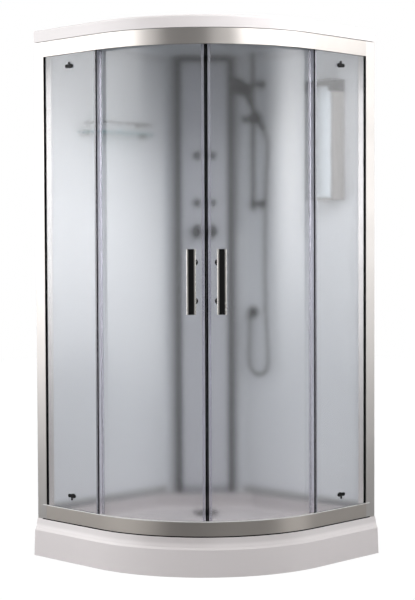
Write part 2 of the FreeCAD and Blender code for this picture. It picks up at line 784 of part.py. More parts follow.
def make_corner_column():
    """Front panel of the service column, with holes for the mixer and the jets."""
    depth = (COLUMN_FRONT - COLUMN_SKIN, COLUMN_FRONT)
    panel = corner_block((-COLUMN_HALF_WIDTH, COLUMN_HALF_WIDTH), depth, (LEDGE_HEIGHT, FRAME_TOP))
    through = (depth[0] - CUT_OVERRUN, depth[1] + CUT_OVERRUN)
    for side in (-1, 1):
        panel = panel.cut(corner_rod(side * KNOB_OFFSET, through, KNOB_HEIGHT, BUSH_RADIUS + HOLE_GAP))
        for height in JET_HEIGHTS:
            panel = panel.cut(corner_rod(side * JET_OFFSET, through, height, JET_SHANK_RADIUS + HOLE_GAP))
    return panel


def make_wall_trims():
    """Slanting side wings of the column, and trims where the walls and the column meet the ceiling."""
    foot = COLUMN_SPREAD + PANEL_FACE * math.sqrt(2)
    run = (COLUMN_SPREAD - COLUMN_HALF_WIDTH, foot - COLUMN_FRONT)
    length = math.hypot(*run)
    back = (run[1] / length * COLUMN_SKIN, -run[0] / length * COLUMN_SKIN)
    near = (COLUMN_HALF_WIDTH, COLUMN_FRONT)
    far = (near[0] + 2 * run[0], near[1] + 2 * run[1])
    outline = [near, far, (far[0] + back[0], far[1] + back[1]), (near[0] + back[0], near[1] + back[1])]
    wing = prism([corner_point(u, v) for u, v in outline], (LEDGE_HEIGHT, FRAME_TOP))
    inside = block((PANEL_FACE, FRAME_SIDE), (PANEL_FACE, FRAME_SIDE), (0, FRAME_TOP))
    wing = wing.common(inside).cut(make_corner_column())
    level = (FRAME_TOP - TRIM_HEIGHT, FRAME_TOP)
    trim = block((PANEL_FACE, PANEL_FACE + TRIM_DEPTH), (COLUMN_FOOT, FRAME_SIDE - JAMB_DEPTH), level)
    front = (COLUMN_FRONT, COLUMN_FRONT + TRIM_DEPTH)
    over = corner_block((-COLUMN_HALF_WIDTH, COLUMN_HALF_WIDTH), front, level)
    return group(pair(wing) + pair(trim) + [over])


def make_left_jamb():
    """Hollow upright with a slot for the wall panel and one for the fixed glass."""
    height = (SEAT_HEIGHT, FRAME_TOP)
    rear = FRAME_SIDE - JAMB_DEPTH
    outer = block((0, JAMB_WIDTH), (rear, FRAME_SIDE), height)
    corners = [(0, FRAME_SIDE), (JAMB_WIDTH, FRAME_SIDE), (JAMB_WIDTH, rear)]
    outer = outer.makeFillet(JAMB_FILLET, upright_edges(outer, corners))
    hollow = block(
        (JAMB_WALL, JAMB_WIDTH - JAMB_WALL), (rear + JAMB_WALL, FRAME_SIDE - JAMB_WALL), height
    )
    panel_slot = block((PANEL_BACK, PANEL_FACE), (rear, rear + JAMB_PANEL_SLOT), height)
    panel_walls = block(
        (PANEL_BACK - JAMB_WALL, PANEL_FACE + JAMB_WALL),
        (rear + JAMB_WALL, rear + JAMB_PANEL_SLOT + JAMB_WALL),
        height,
    )
    glass_slot = block(
        (JAMB_WIDTH - JAMB_GLASS_SLOT, JAMB_WIDTH),
        (FRAME_SIDE - RAIL_LEG, FRAME_SIDE - RAIL_WALL),
        height,
    )
    glass_walls = block(
        (JAMB_WIDTH - JAMB_GLASS_SLOT - JAMB_WALL, JAMB_WIDTH - JAMB_WALL),
        (FRAME_SIDE - RAIL_LEG - JAMB_WALL, FRAME_SIDE - JAMB_WALL),
        height,
    )
    jamb = outer.cut(hollow).fuse([panel_walls, glass_walls])
    return jamb.cut(panel_slot.fuse(glass_slot)).removeSplitter()


# Rails

def rail_section(base, direction, covered):
    """Section of a rail whose closed web is at base; covered closes the glass channel for the arc."""
    wall = RAIL_WALL
    web = RAIL_WEB
    inner_leg = RAIL_LEG + wall
    inner_track = RAIL_TRACK + wall
    outline = [(0, 0), (0, RAIL_HEIGHT)]
    if covered:
        outline += [(inner_leg, RAIL_HEIGHT), (inner_leg, web + wall)]
    else:
        outline += [(wall, RAIL_HEIGHT), (wall, web + wall), (RAIL_LEG, web + wall)]
        outline += [(RAIL_LEG, RAIL_HEIGHT), (inner_leg, RAIL_HEIGHT), (inner_leg, web + wall)]
    outline += [
        (inner_track, web + wall),
        (inner_track, web - RAIL_TRACK_DROP),
        (RAIL_TRACK, web - RAIL_TRACK_DROP),
        (RAIL_TRACK, web),
        (wall, web),
        (wall, wall),
        (RAIL_DEPTH - wall, wall),
        (RAIL_DEPTH - wall, RAIL_DAM),
        (RAIL_DEPTH, RAIL_DAM),
        (RAIL_DEPTH, 0),
    ]
    corners = [at(CENTRE, FRAME_SIDE - depth, base + direction * height) for depth, height in outline]
    face = Part.Face(Part.makePolygon(corners + corners[:1]))
    if not covered:
        return face
    hollow = [
        (wall, web + wall),
        (RAIL_LEG, web + wall),
        (RAIL_LEG, RAIL_HEIGHT - wall),
        (wall, RAIL_HEIGHT - wall),
    ]
    corners = [at(CENTRE, FRAME_SIDE - depth, base + direction * height) for depth, height in hollow]
    return face.cut(Part.Face(Part.makePolygon(corners + corners[:1]))).Faces[0]


def make_rail(base, direction):
    """Curved rail: a quarter circle with a straight run to each jamb."""
    bend = rail_section(base, direction, True).revolve(at(CENTRE, CENTRE, 0), Z_AXIS, QUARTER_TURN)
    straight = rail_section(base, direction, False).extrude(X_AXIS * (JAMB_WIDTH - CENTRE))
    return bend.fuse(pair(straight)).removeSplitter()


# Fixed panes

def make_left_fixed_glass(holes):
    """Flat pane between the left jamb and the left door."""
    inner = FRAME_SIDE - FIXED_GLASS_DEPTH - GLASS
    low = SEAT_HEIGHT + RAIL_WEB + RAIL_WALL + GASKET_BASE
    high = FRAME_TOP - RAIL_WEB - RAIL_WALL - GASKET_BASE
    start = JAMB_WIDTH - JAMB_GLASS_SLOT + GASKET_BASE
    pane = block((start, FIXED_EDGE), (inner, inner + GLASS), (low, high))
    if not holes:
        return pane
    depth = (inner - CUT_OVERRUN, inner + GLASS + CUT_OVERRUN)
    for height in (LOWER_EDGE + CLIP_ABOVE_RAIL, UPPER_EDGE - CLIP_BELOW_RAIL):
        pane = pane.cut(rod_q(CLIP_PLACE, depth, height, CLIP_SHANK_RADIUS + HOLE_GAP))
    return pane


def make_rubber_gaskets():
    """Glass gaskets and edge strips of the fixed panes, the stops on the track and the waste gasket."""
    pane = make_left_fixed_glass(False)
    slot = (FRAME_SIDE - RAIL_LEG, FRAME_SIDE - RAIL_WALL)
    low = SEAT_HEIGHT + RAIL_WEB + RAIL_WALL
    high = FRAME_TOP - RAIL_WEB - RAIL_WALL
    proud = JAMB_WIDTH + GASKET_PROUD
    upright = block((JAMB_WIDTH - JAMB_GLASS_SLOT, proud), slot, (low, high))
    bottom = block((JAMB_WIDTH, FIXED_EDGE), slot, (low, LOWER_EDGE))
    top = block((JAMB_WIDTH, FIXED_EDGE), slot, (UPPER_EDGE, high))
    gasket = upright.fuse([bottom, top]).cut(pane).removeSplitter()
    face = FRAME_SIDE - FIXED_GLASS_DEPTH
    strip = block((FIXED_EDGE, FIXED_EDGE + EDGE_STRIP), (face - GLASS, face), (LOWER_EDGE, UPPER_EDGE))
    return group(pair(gasket) + pair(strip) + pair(make_door_stop()) + [make_waste_gasket()])


def make_fixed_edge_seals():
    """Clear profiles behind the free edges of the fixed panes, each with a fin towards the door."""
    back = FRAME_SIDE - FIXED_GLASS_DEPTH - GLASS
    end = FIXED_EDGE + EDGE_STRIP
    height = (LOWER_EDGE, UPPER_EDGE)
    leg = block((FIXED_EDGE - EDGE_SEAL_GRIP, end), (back - EDGE_SEAL_SKIN, back), height)
    fin = block((end - EDGE_SEAL_FIN, end), (back - EDGE_SEAL_FIN_REACH, back), height)
    return group(pair(leg.fuse(fin).removeSplitter()))


def make_clip(height, up):
    """Winged clip through the fixed glass; its stem points to the rail."""
    face = FRAME_SIDE - FIXED_GLASS_DEPTH
    inner = face - GLASS
    front = (face, face + CLIP_THICKNESS)
    clip = rod_q(CLIP_PLACE, (inner - CLIP_THICKNESS, face), height, CLIP_SHANK_RADIUS)
    clip = clip.fuse(rod_q(CLIP_PLACE, (inner - CLIP_THICKNESS, inner), height, CLIP_CAP_RADIUS))
    clip = clip.fuse(rod_q(CLIP_PLACE, front, height, CLIP_HUB_RADIUS))
    for side in (-1, 1):
        clip = clip.fuse(rod_q(CLIP_PLACE + side * CLIP_LOBE_OFFSET, front, height, CLIP_LOBE_RADIUS))
    bar = block(span(CLIP_PLACE, 2 * CLIP_LOBE_OFFSET), front, span(height, CLIP_STEM_WIDTH))
    ends = sorted((height, height + up * CLIP_STEM_LENGTH))
    stem = block(span(CLIP_PLACE, CLIP_STEM_WIDTH), front, ends)
    return clip.fuse([bar, stem]).removeSplitter()


def make_glass_clips():
    """The four black clips."""
    low = make_clip(LOWER_EDGE + CLIP_ABOVE_RAIL, -1)
    high = make_clip(UPPER_EDGE - CLIP_BELOW_RAIL, 1)
    return group(pair(low) + pair(high))


def make_door_stop():
    """Rubber stop that straddles the top track where the left door's trailing wheel ends its travel."""
    past = math.radians(TRAILING_ANGLE + DOOR_TRAVEL_ANGLE - HALF_ARC)
    reach = (FRAME_RADIUS - TRACK_MIDDLE) * math.sin(past) + WHEEL_RADIUS + BUFFER_GAP
    end = CENTRE - reach
    web = FRAME_TOP - RAIL_WEB
    outer = FRAME_SIDE - RAIL_TRACK + BUFFER_WALL
    inner = FRAME_SIDE - RAIL_TRACK - RAIL_WALL - BUFFER_WALL
    buffer = block((end - BUFFER_LENGTH, end), (inner, outer), (web, web + BUFFER_HEIGHT))
    lip = block(
        (end - BUFFER_LENGTH, end),
        (FRAME_SIDE - RAIL_TRACK - RAIL_WALL, FRAME_SIDE - RAIL_TRACK),
        (web, TRACK_TOP),
    )
    under = block((end - BUFFER_LENGTH, end), (inner, FRAME_SIDE - RAIL_TRACK - RAIL_WALL), (web - RAIL_WALL, web))
    return buffer.fuse(under).cut(lip).removeSplitter()


# Roof

def make_ceiling_panel():
    """Flat ceiling sheet on the rails, jambs and wall panels."""
    return slab(CEILING_INSET, CEILING_INSET, (FRAME_TOP, FRAME_TOP + CEILING_SKIN))


def make_roof_cover():
    """White cap over the ceiling; its edge is the band above the top rail."""
    cap = slab(0, -ROOF_OVERHANG, (ROOF_BOTTOM, ROOF_TOP))
    front = [e for e in level_edges(cap, ROOF_TOP) if not beside_wall(e)]
    cap = cap.makeFillet(ROOF_FILLET, front)
    seat = FRAME_TOP + CEILING_SKIN
    rim_inset = ROOF_RIM - ROOF_OVERHANG
    cavity = slab(ROOF_RIM, rim_inset, (seat - CUT_OVERRUN, ROOF_TOP - ROOF_SKIN))
    rebate = slab(CEILING_INSET, CEILING_INSET, (ROOF_BOTTOM - CUT_OVERRUN, seat))
    return cap.cut(cavity).cut(rebate).removeSplitter()


def beside_wall(edge):
    """Whether an edge runs along one of the room walls."""
    points = [vertex.Point for vertex in edge.Vertexes]
    left = all(abs(point.x + HALF) < RUNNING_GAP for point in points)
    right = all(abs(point.y - HALF) < RUNNING_GAP for point in points)
    return left or right


# Doors

def door_holes():
    """Cutters for the fittings' holes in the left door glass."""
    radii = (DOOR_INNER - CUT_OVERRUN, DOOR_OUTER + CUT_OVERRUN)
    cutters = []
    for angle in (LEADING_ANGLE, TRAILING_ANGLE):
        cutters.append(along_arc(radial_rod(0, radii, WHEEL_HEIGHT, HANGER_SHANK_RADIUS + HOLE_GAP), angle))
        cutters.append(along_arc(radial_rod(0, radii, SHOE_SHANK_HEIGHT, SHOE_SHANK_RADIUS + HOLE_GAP), angle))
    for height in span(HANDLE_CENTRE, HANDLE_HOLES):
        hole = radial_rod(MOUNT_SHIFT, radii, height, MOUNT_SHANK_RADIUS + HOLE_GAP)
        cutters.append(along_arc(hole, arc_angle(HANDLE_OFFSET)))
    return cutters


def door_pane():
    """Left door glass without its holes."""
    first = arc_angle(MAGNET_GAP + MAGNET_WIDTH + SEAL_LIP)
    return sector((DOOR_INNER, DOOR_OUTER), (first, DOOR_LAP_ANGLE), (DOOR_BOTTOM, DOOR_TOP))


def make_left_door_glass():
    """Curved left door glass, drilled for its fittings."""
    return door_pane().cut(door_holes())


def make_left_magnet_strip():
    """Black magnetic strip on the leading edge."""
    radii = (DOOR_INNER - SEAL_SKIN, DOOR_OUTER + SEAL_SKIN)
    angles = (arc_angle(MAGNET_GAP), arc_angle(MAGNET_GAP + MAGNET_WIDTH))
    return sector(radii, angles, (DOOR_BOTTOM, DOOR_TOP))


def make_left_door_seals():
    """Clear profiles that grip the leading and the trailing edge of the glass."""
    radii = (DOOR_INNER - SEAL_SKIN, DOOR_OUTER + SEAL_SKIN)
    height = (DOOR_BOTTOM, DOOR_TOP)
    start = MAGNET_GAP + MAGNET_WIDTH
    leading = sector(radii, (arc_angle(start), arc_angle(start + SEAL_LIP + SEAL_GRIP)), height)
    last = DOOR_LAP_ANGLE + arc_angle(SEAL_LIP)
    trailing = sector(radii, (DOOR_LAP_ANGLE - arc_angle(SEAL_GRIP), last), height)
    fin_height = (LOWER_EDGE + RAIL_CLEARANCE, UPPER_EDGE - RAIL_CLEARANCE)
    fin = sector((radii[1], radii[1] + SEAL_FIN_REACH), (last - arc_angle(SEAL_FIN), last), fin_height)
    pane = door_pane()
    return group([leading.cut(pane), trailing.fuse(fin).cut(pane).removeSplitter()])


def make_left_handle():
    """Upright bar with a groove for its inlay."""
    base = CENTRE + DOOR_OUTER + HANDLE_STANDOFF
    height = span(HANDLE_CENTRE, HANDLE_LENGTH)
    width = span(CENTRE, HANDLE_WIDTH)
    bar = block(width, (base, base + HANDLE_THICKNESS), height)
    corners = [(p, q) for p in width for q in (base, base + HANDLE_THICKNESS)]
    bar = bar.makeFillet(HANDLE_FILLET, upright_edges(bar, corners))
    top = base + HANDLE_THICKNESS
    groove = block(span(CENTRE, INLAY_WIDTH), (top - INLAY_DEPTH, top + CUT_OVERRUN), height)
    return along_arc(bar.cut(groove), arc_angle(HANDLE_OFFSET))


def make_left_handle_inlay():
    """Black strip in the groove of the handle."""
    top = CENTRE + DOOR_OUTER + HANDLE_STANDOFF + HANDLE_THICKNESS
    height = span(HANDLE_CENTRE, HANDLE_LENGTH)
    strip = block(span(CENTRE, INLAY_WIDTH), (top - INLAY_DEPTH, top + INLAY_PROUD), height)
    return along_arc(strip, arc_angle(HANDLE_OFFSET))


def make_left_handle_mounts():
    """Round mounts through the glass that carry the handle."""
    solids = []
    seat = DOOR_OUTER + SEAT_GAP
    inside = DOOR_INNER - MOUNT_CAP_GAP
    for height in span(HANDLE_CENTRE, HANDLE_HOLES):
        mount = radial_rod(MOUNT_SHIFT, (inside, DOOR_OUTER + HANDLE_STANDOFF), height, MOUNT_SHANK_RADIUS)
        post = radial_rod(MOUNT_SHIFT, (seat, DOOR_OUTER + HANDLE_STANDOFF), height, MOUNT_POST_RADIUS)
        disc = radial_rod(MOUNT_SHIFT, (seat, seat + MOUNT_DISC), height, MOUNT_DISC_RADIUS)
        cap = radial_rod(MOUNT_SHIFT, (inside - MOUNT_CAP, inside), height, MOUNT_CAP_RADIUS)
        solids.append(along_arc(mount.fuse([post, disc, cap]).removeSplitter(), arc_angle(HANDLE_OFFSET)))
    return group(solids)


def make_left_wheel(angle):
    """Grooved roller wheel on the top track."""
    middle = (WHEEL_INNER + WHEEL_OUTER) / 2
    wheel = radial_rod(0, (WHEEL_INNER, WHEEL_OUTER), WHEEL_HEIGHT, WHEEL_RADIUS)
    groove = radial_rod(0, span(middle, WHEEL_GROOVE_WIDTH), WHEEL_HEIGHT, WHEEL_RADIUS + CUT_OVERRUN)
    core = radial_rod(0, span(middle, WHEEL_GROOVE_WIDTH), WHEEL_HEIGHT, WHEEL_RADIUS - WHEEL_GROOVE)
    through = (WHEEL_INNER - CUT_OVERRUN, WHEEL_OUTER + CUT_OVERRUN)
    bore = radial_rod(0, through, WHEEL_HEIGHT, AXLE_RADIUS + RUNNING_GAP)
    return along_arc(wheel.cut(groove.cut(core)).cut(bore), angle)


def make_left_roller_hangers():
    """Axle, collar and clamp of each roller, through the door glass."""
    inside = DOOR_INNER - SEAT_GAP
    collar_end = WHEEL_INNER - HANGER_SIDE_GAP
    head = WHEEL_OUTER + HANGER_SIDE_GAP
    solids = []
    for angle in (LEADING_ANGLE, TRAILING_ANGLE):
        hanger = radial_rod(0, (inside, head + AXLE_HEAD), WHEEL_HEIGHT, AXLE_RADIUS)
        parts = [
            radial_rod(0, (inside - HANGER_CAP, inside), WHEEL_HEIGHT, HANGER_CAP_RADIUS),
            radial_rod(0, (inside, collar_end), WHEEL_HEIGHT, HANGER_SHANK_RADIUS),
            radial_rod(0, (DOOR_OUTER + SEAT_GAP, collar_end), WHEEL_HEIGHT, HANGER_COLLAR_RADIUS),
            radial_rod(0, (head, head + AXLE_HEAD), WHEEL_HEIGHT, AXLE_HEAD_RADIUS),
        ]
        solids.append(along_arc(hanger.fuse(parts).removeSplitter(), angle))
    return group(solids)


def make_left_guide_shoes():
    """Plastic hooks that run on the lip of the bottom rail."""
    slot = RAIL_WALL / 2 + SHOE_SLOT_GAP
    track = CENTRE + FRAME_RADIUS - TRACK_MIDDLE
    length = span(CENTRE, 2 * SHOE_HALF_LENGTH)
    height = (SHOE_BOTTOM, SHOE_TOP)
    seat = CENTRE + DOOR_OUTER + SEAT_GAP
    inside = DOOR_INNER - SEAT_GAP
    hook = block(length, (seat, track + slot + SHOE_WALL), height)
    gap = block(
        (length[0] - CUT_OVERRUN, length[1] + CUT_OVERRUN),
        (track - slot, track + slot),
        (SHOE_BOTTOM + SHOE_FLOOR, SHOE_TOP + CUT_OVERRUN),
    )
    shank = radial_rod(0, (inside, DOOR_OUTER + SEAT_GAP), SHOE_SHANK_HEIGHT, SHOE_SHANK_RADIUS)
    cap = radial_rod(0, (inside - SHOE_CAP, inside), SHOE_SHANK_HEIGHT, SHOE_CAP_RADIUS)
    shoe = hook.cut(gap).fuse([shank, cap]).removeSplitter()
    return group([along_arc(shoe, angle) for angle in (LEADING_ANGLE, TRAILING_ANGLE)])


# Shelf and mirror

def make_shelf_glass():
    """Glass shelf with rounded front corners."""
    back = PANEL_FACE + SHELF_WALL_GAP
    front = back + SHELF_DEPTH
    ends = span(SHELF_PLACE, SHELF_LENGTH)
    glass = block((back, front), ends, (SHELF_HEIGHT, SHELF_HEIGHT + SHELF_GLASS))
    return glass.makeFillet(SHELF_FILLET, upright_edges(glass, [(front, q) for q in ends]))


def make_shelf_brackets():
    """Round studs on the wall, slotted for the glass."""
    glass = make_shelf_glass()
    middle = SHELF_HEIGHT + SHELF_GLASS / 2
    reach = (PANEL_FACE, PANEL_FACE + SHELF_BRACKET_REACH)
    places = span(SHELF_PLACE, SHELF_BRACKET_SPAN)
    return group([rod_p(reach, q, middle, SHELF_BRACKET_RADIUS).cut(glass) for q in places])


def make_shelf_guard_rail():
    """Bent rod above the shelf's front edge, with a rosette at each end."""
    front = PANEL_FACE + SHELF_WALL_GAP + SHELF_DEPTH - GUARD_INSET
    height = SHELF_HEIGHT + GUARD_RISE
    first, last = span(SHELF_PLACE, SHELF_LENGTH - 2 * GUARD_END_INSET)
    corners = [
        at(PANEL_FACE, first, height),
        at(front, first, height),
        at(front, last, height),
        at(PANEL_FACE, last, height),
    ]
    rail = bent_rod(corners, [GUARD_BEND, GUARD_BEND], GUARD_RADIUS)[1]
    rosette = (PANEL_FACE, PANEL_FACE + GUARD_ROSETTE)
    return rail.fuse([rod_p(rosette, q, height, GUARD_ROSETTE_RADIUS) for q in (first, last)])


def mirror_limits(inset):
    """Limits in p and z of the mirror box, set in all round."""
    p = (MIRROR_START + inset, MIRROR_START + MIRROR_WIDTH - inset)
    return p, (MIRROR_BOTTOM + inset, MIRROR_BOTTOM + MIRROR_HEIGHT - inset)


def make_mirror_housing():
    """Shallow box on the wall, open at the back, with a rebate for the mirror and a cap over its top."""
    p, z = mirror_limits(0)
    front = PANEL_FACE + MIRROR_DEPTH
    box = block(p, (PANEL_FACE, front), z)
    p, z = mirror_limits(MIRROR_SKIN)
    box = box.cut(block(p, (PANEL_FACE - CUT_OVERRUN, front - MIRROR_GLASS - MIRROR_SKIN), z))
    p, z = mirror_limits(MIRROR_FRAME)
    box = box.cut(block(p, (front - MIRROR_GLASS, front + CUT_OVERRUN), z))
    p, z = mirror_limits(0)
    proud = (front, front + MIRROR_CAP_PROUD)
    ear = (z[1] - MIRROR_EAR_HEIGHT, z[1])
    cap = [
        block(p, proud, (z[1] - MIRROR_CAP_HEIGHT, z[1])),
        block((p[0], p[0] + MIRROR_EAR_WIDTH), proud, ear),
        block((p[1] - MIRROR_EAR_WIDTH, p[1]), proud, ear),
    ]
    return box.fuse(cap).removeSplitter()


def make_mirror_glass():
    """Mirror in the front of its housing."""
    p, z = mirror_limits(MIRROR_FRAME)
    front = PANEL_FACE + MIRROR_DEPTH
    return block(p, (front - MIRROR_GLASS, front), z)


# Riser and hand shower

def make_riser_tube():
    """Rail of the hand shower, from its lower end to the ceiling."""
    outer = rod_up(RISER_PLACE, RISER_Q, (RISER_BOTTOM, FRAME_TOP), RISER_RADIUS)
    return outer.cut(rod_up(RISER_PLACE, RISER_Q, (RISER_BOTTOM, FRAME_TOP), RISER_RADIUS - RISER_WALL))


def make_riser_brackets():
    """Rings round the riser on arms from the wall."""
    solids = []
    for middle in (BRACKET_LOW, BRACKET_HIGH):
        height = span(middle, BRACKET_HEIGHT)
        ring = rod_up(RISER_PLACE, RISER_Q, height, BRACKET_RING_RADIUS)
        arm = rod_q(RISER_PLACE, (PANEL_FACE, RISER_Q), middle, BRACKET_ARM_RADIUS)
        base = rod_q(RISER_PLACE, (PANEL_FACE, PANEL_FACE + BRACKET_BASE), middle, BRACKET_BASE_RADIUS)
        bore = rod_up(RISER_PLACE, RISER_Q, (RISER_BOTTOM, FRAME_TOP), RISER_RADIUS)
        solids.append(ring.fuse([arm, base]).cut(bore).removeSplitter())
    return group(solids)


def make_rail_slider():
    """Clamp on the riser with its locking knob and the pivot of the holder."""
    body = rod_up(RISER_PLACE, RISER_Q, span(SLIDER_HEIGHT, SLIDER_LENGTH), SLIDER_RADIUS)
    arm_end = HOLDER_P - HOLDER_BOSS_END
    arm = block((RISER_PLACE, arm_end), span(HOLDER_Q, SLIDER_ARM), span(SLIDER_HEIGHT, SLIDER_ARM))
    pin = rod_p((arm_end, arm_end + PIVOT_LENGTH), HOLDER_Q, SLIDER_HEIGHT, PIVOT_RADIUS)
    outside = RISER_PLACE - SLIDER_RADIUS
    neck = rod_p((outside - SLIDER_KNOB_START, RISER_PLACE), RISER_Q, SLIDER_HEIGHT, SLIDER_KNOB_NECK)
    knob = rod_p(
        (outside - SLIDER_KNOB_END, outside - SLIDER_KNOB_START), RISER_Q, SLIDER_HEIGHT, SLIDER_KNOB_RADIUS
    )
    bore = rod_up(RISER_PLACE, RISER_Q, (RISER_BOTTOM, FRAME_TOP), RISER_RADIUS + RUNNING_GAP)
    return body.fuse([arm, pin, neck, knob]).cut(bore).removeSplitter()


def to_holder(shape):
    """Piece modelled upright about the holder's middle, tilted and carried to it."""
    shape.rotate(ORIGIN, X_AXIS, HANDSET_TILT)
    shape.translate(at(HOLDER_P, HOLDER_Q, SLIDER_HEIGHT))
    return shape


def revolved(outline):
    """Solid of revolution about the handset's axis from (radius, height) points."""
    corners = [FreeCAD.Vector(radius, 0, height) for radius, height in outline]
    face = Part.Face(Part.makePolygon(corners + corners[:1]))
    return face.revolve(ORIGIN, Z_AXIS, 4 * QUARTER_TURN)


def handle_stick():
    """Tapered handle of the hand shower, upright."""
    return revolved([
        (0, -HANDLE_TAIL),
        (HANDLE_TAIL_RADIUS, -HANDLE_TAIL),
        (HANDLE_GRIP_RADIUS, HOLDER_LENGTH),
        (HANDLE_NECK_RADIUS, HANDLE_TOP),
        (0, HANDLE_TOP),
    ])


def head_disc(outline):
    """Solid of revolution about the shower head's axis from (radius, forward) points, turned and placed."""
    corners = [FreeCAD.Vector(radius, -forward, 0) for radius, forward in outline]
    face = Part.Face(Part.makePolygon(corners + corners[:1]))
    disc = face.revolve(ORIGIN, Y_AXIS, 4 * QUARTER_TURN)
    disc.rotate(ORIGIN, X_AXIS, HEAD_TURN)
    disc.translate(FreeCAD.Vector(0, -HEAD_FORWARD, HEAD_PLACE))
    return disc


def make_hand_shower():
    """Handset: handle and round head with a recess for the spray face."""
    head = head_disc([
        (0, -HEAD_BACK),
        (HEAD_BACK_RADIUS, -HEAD_BACK),
        (HEAD_RADIUS, HEAD_FRONT - HEAD_RIM),
        (HEAD_RADIUS, HEAD_FRONT),
        (FACE_RADIUS, HEAD_FRONT),
        (FACE_RADIUS, HEAD_FRONT - FACE_RECESS),
        (0, HEAD_FRONT - FACE_RECESS),
    ])
    stick = handle_stick().cut(head_disc([
        (0, HEAD_FRONT - FACE_RECESS),
        (HEAD_RADIUS, HEAD_FRONT - FACE_RECESS),
        (HEAD_RADIUS, HEAD_FRONT + HEAD_BACK),
        (0, HEAD_FRONT + HEAD_BACK),
    ]))
    return to_holder(head.fuse(stick).removeSplitter())


def make_spray_face():
    """Dark face plate of the hand shower."""
    return to_holder(head_disc([
        (0, HEAD_FRONT - FACE_RECESS),
        (FACE_RADIUS, HEAD_FRONT - FACE_RECESS),
        (FACE_RADIUS, HEAD_FRONT),
        (FACE_RADIUS - FACE_PROUD, HEAD_FRONT + FACE_PROUD),
        (0, HEAD_FRONT + FACE_PROUD),
    ]))


def make_handset_holder():
    """Open ring that grips the handle, on a boss that swivels on the slider."""
    low = -HOLDER_LENGTH / 2
    ring = Part.makeCylinder(HOLDER_RADIUS, HOLDER_LENGTH, FreeCAD.Vector(0, 0, low), Z_AXIS)
    boss = Part.makeCylinder(
        HOLDER_BOSS_RADIUS, HOLDER_BOSS_END - SEAT_GAP, FreeCAD.Vector(SEAT_GAP - HOLDER_BOSS_END, 0, 0), X_AXIS
    )
    start = FreeCAD.Vector(-HOLDER_BOSS_END, 0, 0)
    bore = Part.makeCylinder(PIVOT_RADIUS + RUNNING_GAP, PIVOT_LENGTH + SEAT_GAP, start, X_AXIS)
    mouth = Part.makeBox(
        HOLDER_MOUTH,
        HOLDER_RADIUS + CUT_OVERRUN,
        HOLDER_LENGTH + 2 * CUT_OVERRUN,
        FreeCAD.Vector(-HOLDER_MOUTH / 2, -HOLDER_RADIUS - CUT_OVERRUN, low - CUT_OVERRUN),
    )
    return to_holder(ring.fuse(boss).cut([bore, mouth, handle_stick()]).removeSplitter())


def hose_nut():
    """Tapered hose nut below the origin, narrow end down."""
    return revolved([
        (0, 0),
        (HOSE_NUT_RADIUS, 0),
        (HOSE_NUT_RADIUS, -HOSE_NUT_LENGTH / 2),
        (HOSE_RADIUS, -HOSE_NUT_LENGTH),
        (0, -HOSE_NUT_LENGTH),
    ])


def make_handset_hose_nut():
    """Hose nut on the tail of the hand shower."""
    nut = hose_nut()
    nut.translate(FreeCAD.Vector(0, 0, -HANDLE_TAIL))
    return to_holder(nut)


def make_outlet_hose_nut():
    """Hose nut under the wall outlet."""
    nut = hose_nut()
    nut.translate(at(OUTLET_PLACE, OUTLET_Q, OUTLET_BOTTOM))
    return nut


def make_shower_hose():
    """Free hose from the handset's nut to the outlet's nut."""
    tilt = math.radians(HANDSET_TILT)
    down = FreeCAD.Vector(0, math.sin(tilt), -math.cos(tilt))
    start = at(HOLDER_P, HOLDER_Q, SLIDER_HEIGHT) + down * (HANDLE_TAIL + HOSE_NUT_LENGTH)
    points = [start, start + down * HOSE_LEAD]
    points += [at(*place) for place in HOSE_ROUTE]
    points.append(at(OUTLET_PLACE, OUTLET_Q, HOSE_END_HEIGHT))
    runs = [(after - before).Length for before, after in zip(points, points[1:])]
    tangents = [HOSE_BEND_SHARE * min(pair_of_runs) for pair_of_runs in zip(runs, runs[1:])]
    path, hose = bent_rod(points, tangents, HOSE_RADIUS)
    radii = [edge.Curve.Radius for edge in path.Edges if hasattr(edge.Curve, "Radius")]
    whole = math.pi * HOSE_RADIUS ** 2 * path.Length
    print("hose length %.0f, tightest bend %.0f, volume %.4f of section by length" % (
        path.Length, min(radii), hose.Volume / whole))
    print("hose bend radii", " ".join("%.0f" % radius for radius in radii))
    return hose


def make_wall_outlet():
    """Elbow with a rosette on the right wall, and its block behind the panel."""
    elbow = rod_q(OUTLET_PLACE, (PIPE_BEHIND_PANEL, OUTLET_Q), OUTLET_HEIGHT, OUTLET_RADIUS)
    ball = Part.makeSphere(OUTLET_BALL_RADIUS, at(OUTLET_PLACE, OUTLET_Q, OUTLET_HEIGHT))
    drop = rod_up(OUTLET_PLACE, OUTLET_Q, (OUTLET_BOTTOM, OUTLET_HEIGHT), OUTLET_RADIUS)
    face = (PANEL_FACE, PANEL_FACE + OUTLET_ROSETTE)
    rosette = rod_q(OUTLET_PLACE, face, OUTLET_HEIGHT, OUTLET_ROSETTE_RADIUS)
    behind = block(
        span(OUTLET_PLACE, OUTLET_BLOCK),
        span(PIPE_BEHIND_PANEL, OUTLET_BLOCK),
        span(OUTLET_HEIGHT, OUTLET_BLOCK),
    )
    return elbow.fuse([ball, drop, rosette, behind]).removeSplitter()


# Mixer, knobs, jets and pipes

